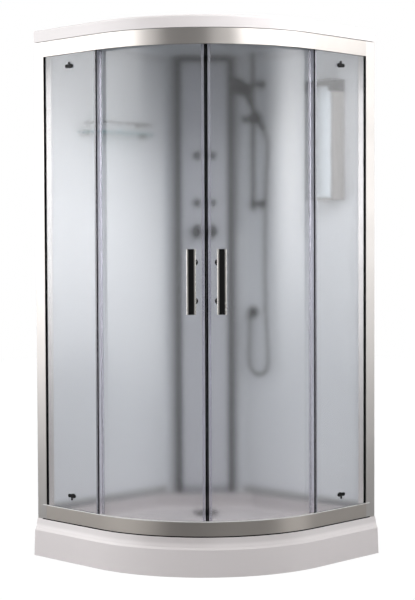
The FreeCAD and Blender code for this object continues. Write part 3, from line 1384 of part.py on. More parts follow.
def make_mixer_valve():
    """Valve body behind the column: spindles through the panel, threaded inlets to the rear."""
    body = corner_block(
        (-VALVE_HALF_LENGTH, VALVE_HALF_LENGTH), (VALVE_BACK, VALVE_FRONT), span(KNOB_HEIGHT, VALVE_HEIGHT)
    )
    body = body.makeFillet(VALVE_FILLET, body.Edges)
    panel_back = COLUMN_FRONT - COLUMN_SKIN
    inlet = (VALVE_BACK - INLET_LENGTH, VALVE_BACK + VALVE_FILLET)
    parts = []
    for side in (-1, 1):
        u = side * KNOB_OFFSET
        parts.append(corner_rod(u, (VALVE_BACK + VALVE_FILLET, panel_back), KNOB_HEIGHT, COLLAR_RADIUS))
        parts.append(corner_rod(u, (VALVE_FRONT, COLUMN_FRONT), KNOB_HEIGHT, BUSH_RADIUS))
        parts.append(corner_rod(u, (VALVE_FRONT, COLUMN_FRONT + SPINDLE_LENGTH), KNOB_HEIGHT, SPINDLE_RADIUS))
        parts.append(corner_rod(side * INLET_OFFSET, inlet, KNOB_HEIGHT, INLET_RADIUS))
    return body.fuse(parts).removeSplitter()


def make_knob(side):
    """Turning knob with a raised grip, bored for the spindle."""
    u = side * KNOB_OFFSET
    start = COLUMN_FRONT + KNOB_PANEL_GAP
    face = start + KNOB_LENGTH
    knob = corner_rod(u, (start, face), KNOB_HEIGHT, KNOB_RADIUS)
    grip = corner_block(
        span(u, KNOB_GRIP_WIDTH), (start + KNOB_LENGTH / 2, face + KNOB_GRIP), span(KNOB_HEIGHT, KNOB_GRIP_LENGTH)
    )
    grip = grip.makeFillet(KNOB_GRIP_FILLET, grip.Edges)
    depth = (start - CUT_OVERRUN, COLUMN_FRONT + SPINDLE_LENGTH + SEAT_GAP)
    bore = corner_rod(u, depth, KNOB_HEIGHT, SPINDLE_RADIUS + RUNNING_GAP)
    return knob.fuse(grip).cut(bore).removeSplitter()


def make_massage_jets():
    """Round jets on the column: a shank through the panel, a bevelled flange and a sunk nozzle."""
    back = MANIFOLD_DEPTH + PIPE_RADIUS + SEAT_GAP
    face = COLUMN_FRONT + JET_FLANGE
    outline = [
        (0, back),
        (JET_SHANK_RADIUS, back),
        (JET_SHANK_RADIUS, COLUMN_FRONT),
        (JET_RADIUS, COLUMN_FRONT),
        (JET_RADIUS, COLUMN_FRONT + JET_EDGE),
        (JET_FACE_RADIUS, face),
        (JET_NOZZLE_RADIUS, face),
        (JET_NOZZLE_RADIUS, face - JET_NOZZLE),
        (0, face - JET_NOZZLE),
    ]
    solids = []
    for height in JET_HEIGHTS:
        for side in (-1, 1):
            axis = FreeCAD.Vector(side * JET_OFFSET, 0, height)
            corners = [axis + FreeCAD.Vector(radius, -v, 0) for radius, v in outline]
            profile = Part.Face(Part.makePolygon(corners + corners[:1]))
            solids.append(to_corner(profile.revolve(axis, Y_AXIS, 4 * QUARTER_TURN)))
    return group(solids)


def make_supply_pipes():
    """Jet manifold above the valve, and the pipe from the valve to the wall outlet."""
    top = KNOB_HEIGHT + VALVE_HEIGHT / 2
    p, q = corner_point(0, (VALVE_BACK + VALVE_FRONT) / 2)
    stem_p, stem_q = corner_point(0, MANIFOLD_DEPTH)
    stem = rod_up(stem_p, stem_q, (top - VALVE_FILLET, max(JET_HEIGHTS) + MANIFOLD_END), PIPE_RADIUS)
    branches = []
    for height in JET_HEIGHTS:
        length = 2 * (JET_OFFSET + MANIFOLD_END)
        start = FreeCAD.Vector(-length / 2, -MANIFOLD_DEPTH, height)
        branches.append(to_corner(Part.makeCylinder(PIPE_RADIUS, length, start, X_AXIS)))
    manifold = stem.fuse(branches).cut(make_mixer_valve()).removeSplitter()
    bottom = KNOB_HEIGHT - VALVE_HEIGHT / 2
    corners = [
        at(p, q, bottom),
        at(p, q, OUTLET_HEIGHT),
        at(p, PIPE_BEHIND_PANEL, OUTLET_HEIGHT),
        at(OUTLET_PLACE - OUTLET_BLOCK / 2, PIPE_BEHIND_PANEL, OUTLET_HEIGHT),
    ]
    return group([manifold, bent_rod(corners, [PIPE_BEND, PIPE_BEND], PIPE_RADIUS)[1]])


def make_nodes():
    """Every node of the cabin by name."""
    nodes = {
        "tray": make_tray(),
        "support_frame": make_support_frame(),
        "levelling_feet": make_levelling_feet(),
        "waste_trap": make_waste_trap(),
        "waste_cover": make_waste_cover(),
        "left_wall_panel": make_left_wall_panel(),
        "right_wall_panel": make_right_wall_panel(),
        "corner_column": make_corner_column(),
        "wall_trims": make_wall_trims(),
        "left_jamb": make_left_jamb(),
        "right_jamb": across(make_left_jamb()),
        "bottom_rail": make_rail(SEAT_HEIGHT, 1),
        "top_rail": make_rail(FRAME_TOP, -1),
        "rubber_gaskets": make_rubber_gaskets(),
        "left_fixed_glass": make_left_fixed_glass(True),
        "right_fixed_glass": across(make_left_fixed_glass(True)),
        "glass_clips": make_glass_clips(),
        "fixed_edge_seals": make_fixed_edge_seals(),
        "ceiling_panel": make_ceiling_panel(),
        "roof_cover": make_roof_cover(),
        "shelf_glass": make_shelf_glass(),
        "shelf_brackets": make_shelf_brackets(),
        "shelf_guard_rail": make_shelf_guard_rail(),
        "mirror_housing": make_mirror_housing(),
        "mirror_glass": make_mirror_glass(),
        "riser_tube": make_riser_tube(),
        "riser_brackets": make_riser_brackets(),
        "rail_slider": make_rail_slider(),
        "handset_holder": make_handset_holder(),
        "hand_shower": make_hand_shower(),
        "spray_face": make_spray_face(),
        "handset_hose_nut": make_handset_hose_nut(),
        "outlet_hose_nut": make_outlet_hose_nut(),
        "shower_hose": make_shower_hose(),
        "wall_outlet": make_wall_outlet(),
        "mixer_valve": make_mixer_valve(),
        "mixer_knob": make_knob(-1),
        "diverter_knob": make_knob(1),
        "massage_jets": make_massage_jets(),
        "supply_pipes": make_supply_pipes(),
    }
    door_pieces = {
        "door_glass": make_left_door_glass(),
        "magnet_strip": make_left_magnet_strip(),
        "door_seals": make_left_door_seals(),
        "handle": make_left_handle(),
        "handle_inlay": make_left_handle_inlay(),
        "handle_mounts": make_left_handle_mounts(),
        "roller_hangers": make_left_roller_hangers(),
        "guide_shoes": make_left_guide_shoes(),
        "leading_wheel": make_left_wheel(LEADING_ANGLE),
        "trailing_wheel": make_left_wheel(TRAILING_ANGLE),
    }
    for name, shape in door_pieces.items():
        nodes["left_" + name] = shape
        nodes["right_" + name] = across(shape)
    return nodes


os.makedirs("parts", exist_ok=True)
for node_name, node_shape in make_nodes().items():
    node_shape.exportStep("parts/%s.step" % node_name)
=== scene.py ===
"""Looks of a quarter-round corner shower cabin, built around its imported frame.

Lengths are in metres in the frame's own axes: +Z is up, the rear corner of the cabin is at (-X, +Y) and
the rounded front with the doors' seam faces (+X, -Y). Sizes of pieces are written in millimetres.
"""

import json
import logging
import math
from dataclasses import dataclass
from enum import Enum
from typing import Any, ClassVar

import bmesh
import bpy
from mathutils import Matrix, Vector

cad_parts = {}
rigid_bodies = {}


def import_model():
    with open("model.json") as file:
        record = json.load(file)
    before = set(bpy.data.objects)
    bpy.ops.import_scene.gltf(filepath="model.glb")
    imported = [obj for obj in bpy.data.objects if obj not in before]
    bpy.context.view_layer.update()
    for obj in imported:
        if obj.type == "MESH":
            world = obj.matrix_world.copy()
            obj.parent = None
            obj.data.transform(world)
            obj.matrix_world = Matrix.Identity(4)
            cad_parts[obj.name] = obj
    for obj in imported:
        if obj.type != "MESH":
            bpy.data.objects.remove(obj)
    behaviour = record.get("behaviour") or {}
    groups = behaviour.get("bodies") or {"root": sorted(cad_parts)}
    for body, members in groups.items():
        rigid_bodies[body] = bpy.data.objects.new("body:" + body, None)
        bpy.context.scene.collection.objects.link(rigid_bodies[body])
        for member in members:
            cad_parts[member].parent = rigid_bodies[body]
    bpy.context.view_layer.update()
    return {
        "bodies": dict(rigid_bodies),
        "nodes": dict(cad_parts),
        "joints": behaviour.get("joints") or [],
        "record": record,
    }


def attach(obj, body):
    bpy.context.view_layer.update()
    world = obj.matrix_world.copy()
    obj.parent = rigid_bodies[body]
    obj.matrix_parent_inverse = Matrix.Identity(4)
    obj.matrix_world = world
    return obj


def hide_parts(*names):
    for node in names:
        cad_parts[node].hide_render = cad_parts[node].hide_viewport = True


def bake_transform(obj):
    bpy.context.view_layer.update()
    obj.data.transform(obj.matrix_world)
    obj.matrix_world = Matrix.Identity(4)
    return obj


LOG = logging.getLogger("shower_cabin")
MM = 0.001
ROOT_HALF = math.sqrt(0.5)
TO_FRONT = Vector((ROOT_HALF, -ROOT_HALF, 0.0))
TO_RIGHT = Vector((ROOT_HALF, ROOT_HALF, 0.0))
UP = Vector((0.0, 0.0, 1.0))
REAR_CORNER = Vector((-0.5, 0.5, 0.0))
WHITE = (1.0, 1.0, 1.0, 1.0)

# The curve between sRGB and linear values.
SRGB_KNEE = 0.04045
SRGB_SLOPE = 12.92
SRGB_LIFT = 0.055
SRGB_POWER = 2.4

# Spacing and length of the lines on a drawn profile, coarser than the real ones so that they show.
LINE_MM = 1.1111
RUN_MM = 666.7
LINE_SCALE = 1 / (LINE_MM * MM)
RUN_SCALE = 1 / (RUN_MM * MM)

# How finely the slow tones and the relief break up, and the least roughness of any surface.
TONE_DETAIL = 3.0
TONE_BREAK_UP = 0.55
RELIEF_DETAIL = 2.0
LEAST_ROUGHNESS = 0.02
QUARTER_TURN = 0.25


def linear(hex_colour: str) -> tuple[float, float, float, float]:
    """Turn an sRGB hex colour into linear values.

    Args:
        hex_colour: Six hex digits, red first.

    Returns:
        Red, green, blue and an alpha of 1.
    """
    channels = []
    for start in (0, 2, 4):
        value = int(hex_colour[start:start + 2], 16) / 255
        if value <= SRGB_KNEE:
            channels.append(value / SRGB_SLOPE)
        else:
            channels.append(((value + SRGB_LIFT) / (1 + SRGB_LIFT)) ** SRGB_POWER)
    return (channels[0], channels[1], channels[2], 1.0)


def add_node(tree: bpy.types.NodeTree, kind: str, settings: dict[str, Any] | None = None,
             sockets: dict[str | int, Any] | None = None) -> bpy.types.Node:
    """Add a node with its settings and links.

    Args:
        tree: Node tree that gets the node.
        kind: Blender's name of the node type.
        settings: Values of the node's own properties.
        sockets: Value of an input, or the output socket that is linked to it, by name or number.

    Returns:
        The new node.
    """
    node = tree.nodes.new(kind)
    for name, value in (settings or {}).items():
        setattr(node, name, value)
    for name, value in (sockets or {}).items():
        if isinstance(value, bpy.types.NodeSocket):
            tree.links.new(value, node.inputs[name])
        else:
            node.inputs[name].default_value = value
    return node


class Grain(Enum):
    """Way in which the fine lines of a drawn profile run."""

    UPRIGHT = (LINE_SCALE, LINE_SCALE, RUN_SCALE)
    ROUND = (RUN_SCALE, RUN_SCALE, LINE_SCALE)
    NONE = (1.0, 1.0, 1.0)


class Measure(Enum):
    """Distance by which a colour fades over a piece."""

    ACROSS = (*TO_RIGHT,)
    HEIGHT = (*UP,)


@dataclass(frozen=True)
class Finish:
    """A surface: what it is made of and how it takes the light."""

    name: str
    colour: str
    roughness: float
    metallic: float = 0.0
    ior: float = 1.5
    coat: float = 0.0
    transmission: float = 0.0
    tone_colour: str = ""
    tone_mm: float = 60.0
    roughness_spread: float = 0.05
    bump_mm: float = 1.0
    bump_height_mm: float = 0.0
    grain: Grain = Grain.NONE
    lets_light_by: float = 0.0
    drawn: float = 0.0
    fade_colour: str = ""
    fade_by: Measure = Measure.HEIGHT
    fade_mm: tuple[float, float] = (0.0, 1.0)

    def material(self) -> bpy.types.Material:
        """Make this finish's material at its first use.

        Returns:
            The material.
        """
        known = bpy.data.materials.get(self.name)
        if known is not None:
            return known
        material = bpy.data.materials.new(self.name)
        material.use_nodes = True
        tree = material.node_tree
        tree.nodes.clear()
        shader = add_node(tree, "ShaderNodeBsdfPrincipled", sockets={
            "Metallic": self.metallic,
            "Coat Weight": self.coat,
            "Transmission Weight": self.transmission,
        })
        if not self.metallic:
            shader.inputs["IOR"].default_value = self.ior
        place = add_node(tree, "ShaderNodeTexCoord").outputs["Object"]
        self.lay_tone(tree, shader, place)
        self.lay_relief(tree, shader, place)
        self.lay_lines(tree, shader)
        self.let_light_by(tree, shader)
        add_node(tree, "ShaderNodeOutputMaterial", sockets={"Surface": shader.outputs["BSDF"]})
        return material

    def lay_tone(self, tree: bpy.types.NodeTree, shader: bpy.types.Node,
                 place: bpy.types.NodeSocket) -> None:
        """Give the shader its colour and roughness, varied slowly over the surface.

        Args:
            tree: The material's node tree.
            shader: Its shader.
            place: Coordinates on the object, in metres.
        """
        patches = add_node(tree, "ShaderNodeTexNoise", sockets={
            "Vector": place,
            "Scale": 1 / (self.tone_mm * MM),
            "Detail": TONE_DETAIL,
            "Roughness": TONE_BREAK_UP,
        }).outputs["Fac"]
        tones = add_node(tree, "ShaderNodeMix", {"data_type": "RGBA"}, {
            "Factor": patches, "A": linear(self.colour), "B": linear(self.tone_colour or self.colour),
        })
        colour = tones.outputs["Result"]
        if self.fade_colour:
            colour = self.fade(tree, colour, place)
        tree.links.new(colour, shader.inputs["Base Color"])
        spread = add_node(tree, "ShaderNodeMapRange", sockets={
            "Value": patches,
            "To Min": max(self.roughness - self.roughness_spread, LEAST_ROUGHNESS),
            "To Max": self.roughness + self.roughness_spread,
        })
        tree.links.new(spread.outputs["Result"], shader.inputs["Roughness"])

    def fade(self, tree: bpy.types.NodeTree, colour: bpy.types.NodeSocket,
             place: bpy.types.NodeSocket) -> bpy.types.NodeSocket:
        """Let the colour fade into a second one over a stretch of the piece.

        Args:
            tree: The material's node tree.
            colour: The first colour.
            place: Coordinates on the object, in metres.

        Returns:
            The socket with the faded colour.
        """
        along = add_node(tree, "ShaderNodeVectorMath", {"operation": "DOT_PRODUCT"}, {
            0: place, 1: self.fade_by.value,
        })
        away = add_node(tree, "ShaderNodeMath", {"operation": "ABSOLUTE"}, {0: along.outputs["Value"]})
        share = add_node(tree, "ShaderNodeMapRange", {"interpolation_type": "SMOOTHSTEP"}, {
            "Value": away.outputs["Value"],
            "From Min": self.fade_mm[0] * MM,
            "From Max": self.fade_mm[1] * MM,
        })
        return add_node(tree, "ShaderNodeMix", {"data_type": "RGBA"}, {
            "Factor": share.outputs["Result"], "A": colour, "B": linear(self.fade_colour),
        }).outputs["Result"]

    def lay_relief(self, tree: bpy.types.NodeTree, shader: bpy.types.Node,
                   place: bpy.types.NodeSocket) -> None:
        """Add the fine relief of the surface, if it has one.

        Args:
            tree: The material's node tree.
            shader: Its shader.
            place: Coordinates on the object, in metres.
        """
        if not self.bump_height_mm:
            return
        pattern = {"Vector": place, "Scale": 1 / (self.bump_mm * MM), "Detail": RELIEF_DETAIL}
        if self.grain is not Grain.NONE:
            stretched = add_node(tree, "ShaderNodeMapping", {"vector_type": "POINT"}, {
                "Vector": place, "Scale": self.grain.value,
            })
            pattern["Vector"] = stretched.outputs["Vector"]
            pattern["Scale"] = 1.0
        ripple = add_node(tree, "ShaderNodeTexNoise", sockets=pattern)
        bump = add_node(tree, "ShaderNodeBump", sockets={
            "Height": ripple.outputs["Fac"], "Distance": self.bump_height_mm * MM, "Strength": 1.0,
        })
        tree.links.new(bump.outputs["Normal"], shader.inputs["Normal"])

    def lay_lines(self, tree: bpy.types.NodeTree, shader: bpy.types.Node) -> None:
        """Draw the highlights out across the lines of a drawn profile.

        Args:
            tree: The material's node tree.
            shader: Its shader.
        """
        if not self.drawn:
            return
        lines = add_node(tree, "ShaderNodeTangent", {"direction_type": "RADIAL", "axis": "Z"})
        tree.links.new(lines.outputs["Tangent"], shader.inputs["Tangent"])
        shader.inputs["Anisotropic"].default_value = self.drawn
        turned = QUARTER_TURN if self.grain is Grain.ROUND else 0.0
        shader.inputs["Anisotropic Rotation"].default_value = turned

    def let_light_by(self, tree: bpy.types.NodeTree, shader: bpy.types.Node) -> None:
        """Let the lamps' light through a pane, so that it throws only a faint shadow.

        Args:
            tree: The material's node tree.
            shader: Its shader.
        """
        if not self.lets_light_by:
            return
        shadow = add_node(tree, "ShaderNodeLightPath").outputs["Is Shadow Ray"]
        alpha = add_node(tree, "ShaderNodeMapRange", sockets={
            "Value": shadow, "To Min": 1.0, "To Max": 1.0 - self.lets_light_by,
        })
        tree.links.new(alpha.outputs["Result"], shader.inputs["Alpha"])


# Sanitary acrylic, vacuum formed over a mould: a deep gloss with a slow waviness.
CAST_ACRYLIC = Finish("cast_acrylic", "F2EDED", 0.2, coat=0.2, tone_colour="ECE6E6", tone_mm=320.0,
                      bump_mm=90.0, bump_height_mm=0.25)
# The same acrylic, greyer on the tray's rim: painted shade on the ledge, which the cabin above it shades.
TRAY_ACRYLIC_SHADED_RIM = Finish("cast_acrylic_tray_painted_rim_shade", "EAE4E4", 0.22, coat=0.15, tone_colour="E4DEDE", tone_mm=320.0,
                      bump_mm=90.0, bump_height_mm=0.25, fade_colour="D2CCCC", fade_mm=(119.0, 134.0))
# ABS sheet with a polished face: white, flatter and a little duller than the tray.
POLISHED_SHEET = Finish("polished_abs_sheet", "E6E9EC", 0.3, tone_colour="DFE3E6", tone_mm=400.0)
# The same sheet on the walls, darker along its foot: a dark joint with the tray, and painted shade above it.
WALL_SHEET_SHADED_FOOT = Finish("polished_abs_wall_painted_shade", "9A9A9A", 0.3, tone_colour="949494", tone_mm=400.0,
                    fade_colour="E6E9EC", fade_mm=(185.0, 225.0))
# ABS sheet, formed and painted silver: a soft metallic grey, with painted shade along its foot like the
# walls.
SILVER_SHEET_SHADED_FOOT = Finish("silver_abs_sheet_painted_shade", "94959A", 0.34, tone_colour="8E8F94", tone_mm=300.0,
                      fade_colour="CBCDD2", fade_mm=(190.0, 230.0))
# PVC trim, extruded: satin and pale, darkened along the column as painted shade in the crease between column
# and walls.
CREASE_SHADED_PVC = Finish("pvc_trim_painted_crease_shade", "2A2828", 0.45, tone_colour="252424", tone_mm=120.0,
                  fade_colour="DADCDF", fade_by=Measure.ACROSS, fade_mm=(116.0, 160.0))
# ABS box with a polished face, dark grey along its top: painted shade.
SHADED_TOP_SHEET = Finish("abs_box_painted_top_shade", "94908D", 0.4, ior=1.3, tone_colour="8E8A87", tone_mm=200.0,
                      fade_colour="1C1B1A", fade_mm=(1893.0, 1898.0))
# Anodised aluminium, drawn through a die: fine lines along it, with highlights drawn out across them.
DRAWN_RAIL = Finish("anodised_aluminium_rail", "CAC5C1", 0.3, metallic=1.0, tone_colour="BFBAB6",
                    tone_mm=180.0, bump_height_mm=0.02, grain=Grain.ROUND, drawn=0.7)
# The same on the bottom rail, left even: its lines only draw the highlights out.
LOW_RAIL = Finish("anodised_aluminium_low_rail", "C6BFB8", 0.28, metallic=1.0, tone_colour="C0B9B2",
                  tone_mm=180.0, roughness_spread=0.0, grain=Grain.ROUND, drawn=0.55)
# The same on the uprights, with the lines along them.
DRAWN_JAMB = Finish("anodised_aluminium_jamb", "D3CFCC", 0.32, metallic=1.0, tone_colour="C8C4C1",
                    tone_mm=180.0, bump_height_mm=0.02, grain=Grain.UPRIGHT)
# The same on the handles, a shade brighter.
HANDLE_SATIN = Finish("anodised_aluminium_handle", "D9D6D2", 0.26, metallic=1.0, tone_colour="CFCCC8",
                      tone_mm=40.0, bump_height_mm=0.015, grain=Grain.UPRIGHT)
# Toughened float glass, acid etched: it lets the light through and softly blurs what is behind it.
ETCHED_GLASS = Finish("etched_glass", "F6F7F9", 0.138, ior=1.5, transmission=0.985, tone_colour="F3F4F7",
                      tone_mm=500.0, roughness_spread=0.01, lets_light_by=0.96)
# Soft PVC, extruded: milky and half see-through.
CLEAR_VINYL = Finish("milky_vinyl", "EFEEF3", 0.16, ior=1.2, transmission=0.94, tone_colour="EAE9EF",
                     tone_mm=30.0, roughness_spread=0.03, lets_light_by=0.85)
# EPDM rubber, extruded: dull black.
BLACK_RUBBER = Finish("epdm_rubber", "060607", 0.75, ior=1.1, tone_colour="0C0C0D", tone_mm=15.0)
# Nylon with glass fibre, moulded and eroded: satin black.
BLACK_NYLON = Finish("black_nylon", "0B0B0C", 0.45, ior=1.25, tone_colour="121213", tone_mm=12.0,
                     bump_mm=1.5, bump_height_mm=0.03)
# Acetal, moulded: white and waxy.
WHITE_ACETAL = Finish("white_acetal", "EDEEEE", 0.35, tone_colour="E5E6E6", tone_mm=20.0)
# Chromium plate on polished brass or steel: a dark mirror, darkened as painted reflection of the cabin's
# unlit inside.
CHROME_PLATE = Finish("dark_chrome_plate", "4C4B4A", 0.14, metallic=1.0, tone_colour="464544", tone_mm=25.0,
                      roughness_spread=0.03)
# The same plate on moulded ABS: a shade softer, and darker still as painted reflection of the dark inside.
PLATED_ABS = Finish("dark_plated_abs", "343333", 0.22, metallic=1.0, tone_colour="2E2D2D", tone_mm=25.0,
                    roughness_spread=0.04)
# The same plate on the moulded hand shower, darkened to nearly black as painted reflection of the dark
# inside.
DARKEST_REFLECTION_PLATE = Finish("plate_painted_darkest_reflection", "161616", 0.25, metallic=1.0, tone_colour="121212", tone_mm=25.0,
                      roughness_spread=0.04)
# A white strip along the bottom rail's top edge: a painted highlight on the rail's edge.
PAINTED_HIGHLIGHT_STRIP = Finish("rail_edge_painted_highlight", "F6F5F4", 0.28, tone_colour="F1F0EF", tone_mm=60.0)
# Silicone, moulded: dull dark grey.
GREY_SILICONE = Finish("grey_silicone", "2C2D2F", 0.6, ior=1.4, tone_colour="262729", tone_mm=6.0)
# Clear float glass, ground edges: the iron in it shows blue-green.
FLOAT_GLASS = Finish("float_glass", "2F8C97", 0.05, ior=1.45, transmission=0.15, tone_colour="2B858F",
                     tone_mm=80.0, roughness_spread=0.02, lets_light_by=0.75)
# Silvered float glass: a soft grey mirror.
SILVERED_GLASS = Finish("silvered_glass", "8B9093", 0.1, metallic=1.0, tone_colour="858A8D", tone_mm=90.0,
                        roughness_spread=0.01)
# Hot-dip galvanised steel: grey with a soft spangle.
GALVANISED = Finish("galvanised_steel", "9EA2A6", 0.45, metallic=1.0, tone_colour="85898D", tone_mm=9.0,
                    roughness_spread=0.12)
# Polypropylene, moulded: grey and satin.
GREY_PLASTIC = Finish("grey_polypropylene", "A2A6AA", 0.4, tone_colour="999DA1", tone_mm=40.0)
# Brass, sand cast and machined: warm, with a grainy skin.
CAST_BRASS = Finish("cast_brass", "C39A55", 0.38, metallic=1.0, tone_colour="B08A4A", tone_mm=14.0,
                    roughness_spread=0.1, bump_mm=1.6, bump_height_mm=0.08)
# Steel strip wound over a rubber liner and plated: dark rings of light, darker still as the painted shadow
# it throws on the wall.
WOUND_HOSE = Finish("plated_hose", "2E2E2D", 0.3, metallic=1.0, tone_colour="282827", tone_mm=8.0)


def add_mesh(name: str, points: list[Vector], faces: list[tuple[int, ...]],
             finish: Finish) -> bpy.types.Object:
    """Make a mesh object with its finish.

    Args:
        name: The piece's name.
        points: Its points, in the frame's axes.
        faces: The points of each face, by number.
        finish: Its finish.

    Returns:
        The new object.
    """
    mesh = bpy.data.meshes.new(name + "_mesh")
    mesh.from_pydata(points, [], faces)
    body = bmesh.new()
    body.from_mesh(mesh)
    bmesh.ops.recalc_face_normals(body, faces=body.faces)
    body.to_mesh(mesh)
    body.free()
    mesh.shade_smooth()
    mesh.materials.append(finish.material())
    piece = bpy.data.objects.new(name, mesh)
    bpy.context.scene.collection.objects.link(piece)
    LOG.info("%s: %d faces, %s", name, len(faces), finish.name)
    return piece


def join_rings(count: int, sides: int) -> list[tuple[int, ...]]:
    """Return the faces of a closed tube whose rings of points follow each other.

    Args:
        count: Number of rings.
        sides: Points in a ring.

    Returns:
        Its walls and two ends.
    """
    faces = []
    for ring in range(count - 1):
        for side in range(sides):
            after = (side + 1) % sides
            low = ring * sides
            faces.append((low + side, low + after, low + sides + after, low + sides + side))
    last = (count - 1) * sides
    return faces + [tuple(range(sides)), tuple(range(last, last + sides))]


def from_walls(place: tuple[float, float, float]) -> Vector:
    """Return a point that is given in millimetres from the two walls and the floor, in the frame's axes."""
    return REAR_CORNER + Vector((place[0], -place[1], place[2])) * MM


class SubAssembly:
    """Pieces that go together on the bench, with the finish of each of the frame's nodes among them."""

    finishes: ClassVar[dict[str, Finish]] = {}

    def node(self, piece: str) -> str:
        """Return the name of the frame's node for a piece."""
        return piece

    def build(self) -> None:
        """Make the pieces that the frame lacks: none, unless the sub-assembly has some."""

    def dress(self, frame: dict[str, Any]) -> None:
        """Put the finishes on the frame's nodes.
        """
        for piece, finish in self.finishes.items():
            mesh = frame["nodes"][self.node(piece)].data
            mesh.materials.clear()
            mesh.materials.append(finish.material())
            LOG.info("%s: %s", self.node(piece), finish.name)


class ShowerTray(SubAssembly):
    """Tray on its steel frame and feet, with the waste."""

    finishes: ClassVar[dict[str, Finish]] = {
        "tray": TRAY_ACRYLIC_SHADED_RIM,
        "support_frame": GALVANISED,
        "levelling_feet": GALVANISED,
        "waste_trap": GREY_PLASTIC,
        "waste_cover": PLATED_ABS,
    }


class WallsAndRoof(SubAssembly):
    """Wall panels, column and roof."""

    finishes: ClassVar[dict[str, Finish]] = {
        "left_wall_panel": WALL_SHEET_SHADED_FOOT,
        "right_wall_panel": WALL_SHEET_SHADED_FOOT,
        "corner_column": SILVER_SHEET_SHADED_FOOT,
        "wall_trims": CREASE_SHADED_PVC,
        "ceiling_panel": POLISHED_SHEET,
        "roof_cover": CAST_ACRYLIC,
    }


class ShelfAndMirror(SubAssembly):
    """Glass shelf on the left wall and mirror box on the right wall."""

    finishes: ClassVar[dict[str, Finish]] = {
        "shelf_glass": FLOAT_GLASS,
        "shelf_brackets": DARKEST_REFLECTION_PLATE,
        "shelf_guard_rail": CHROME_PLATE,
        "mirror_housing": SHADED_TOP_SHEET,
        "mirror_glass": SILVERED_GLASS,
    }


class WaterSupply(SubAssembly):
    """Valve behind the column, its knobs, the jets and the pipes."""

    finishes: ClassVar[dict[str, Finish]] = {
        "mixer_valve": CAST_BRASS,
        "mixer_knob": PLATED_ABS,
        "diverter_knob": PLATED_ABS,
        "massage_jets": PLATED_ABS,
        "supply_pipes": GREY_PLASTIC,
    }


@dataclass
class SlidingDoor(SubAssembly):
    """Curved door: its pane, seals, handle and running gear."""

    side: str

    finishes: ClassVar[dict[str, Finish]] = {
        "door_glass": ETCHED_GLASS,
        "magnet_strip": BLACK_RUBBER,
        "door_seals": CLEAR_VINYL,
        "handle": HANDLE_SATIN,
        "handle_inlay": BLACK_NYLON,
        "handle_mounts": BLACK_NYLON,
        "roller_hangers": GALVANISED,
        "guide_shoes": WHITE_ACETAL,
        "leading_wheel": WHITE_ACETAL,
        "trailing_wheel": WHITE_ACETAL,
    }

    def node(self, piece: str) -> str:
        """Return the name of the frame's node for a piece of this door."""
        return "%s_%s" % (self.side, piece)


@dataclass
class FrontFrame(SubAssembly):
    """Jambs, rails and fixed panes, with a bead under the bottom rail and a white strip along its top as
    painted highlight.
    """

    frame_side_mm: float = 979.0
    bend_mm: float = 600.0
    jamb_mm: float = 34.0
    seat_mm: float = 150.0
    top_mm: float = 210.0
    bend_steps: int = 48
    bead_mm: tuple[tuple[float, float], ...] = (
        (-0.4, 0.1), (2.4, 0.1), (3.0, 1.0), (2.7, 2.6), (1.6, 3.6), (-0.4, 3.8),
    )
    highlight_strip_mm: tuple[tuple[float, float], ...] = (
        (-1.6, -0.4), (0.4, -2.2), (1.2, -1.4), (1.1, 0.3), (0.2, 1.1), (-1.6, 0.9),
    )

    finishes: ClassVar[dict[str, Finish]] = {
        "left_jamb": DRAWN_JAMB,
        "right_jamb": DRAWN_JAMB,
        "bottom_rail": LOW_RAIL,
        "top_rail": DRAWN_RAIL,
        "rubber_gaskets": BLACK_RUBBER,
        "fixed_edge_seals": CLEAR_VINYL,
        "left_fixed_glass": ETCHED_GLASS,
        "right_fixed_glass": ETCHED_GLASS,
        "glass_clips": BLACK_NYLON,
    }

    def path(self) -> list[tuple[Vector, Vector]]:
        """Follow the bottom rail's front face from jamb to jamb.

        Returns:
            Points on the face, each with the way out from it.
        """
        middle = self.frame_side_mm - self.bend_mm
        centre = from_walls((middle, middle, 0.0))
        spots = [(from_walls((self.jamb_mm, self.frame_side_mm, 0.0)), Vector((0.0, -1.0, 0.0)))]
        for step in range(self.bend_steps + 1):
            turn = math.radians(-90.0 + 90.0 * step / self.bend_steps)
            out = Vector((math.cos(turn), math.sin(turn), 0.0))
            spots.append((centre + out * (self.bend_mm * MM), out))
        spots.append((from_walls((self.frame_side_mm, self.jamb_mm, 0.0)), Vector((1.0, 0.0, 0.0))))
        return spots

    def strip(self, name: str, outline: tuple[tuple[float, float], ...], height_mm: float, finish: Finish,
              slot: str) -> None:
        """Make a strip along the bottom rail.

        Args:
            name: The piece's name.
            outline: Its section, as distances out from the rail and up.
            height_mm: Height of the section's origin.
            finish: Its finish.
            slot: Not used.
        """
        path = self.path()
        points = []
        for spot, out in path:
            points += [spot + out * (away * MM) + UP * ((height_mm + up) * MM) for away, up in outline]
        piece = add_mesh(name, points, join_rings(len(path), len(outline)), finish)
        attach(piece, "cabin")

    def build(self) -> None:
        """Make the bead and the painted highlight strip."""
        self.strip("rail_bead", self.bead_mm, self.seat_mm, BLACK_RUBBER, "black_rubber")
        self.strip("rail_painted_highlight_strip", self.highlight_strip_mm, self.top_mm, PAINTED_HIGHLIGHT_STRIP, "white_plastic")


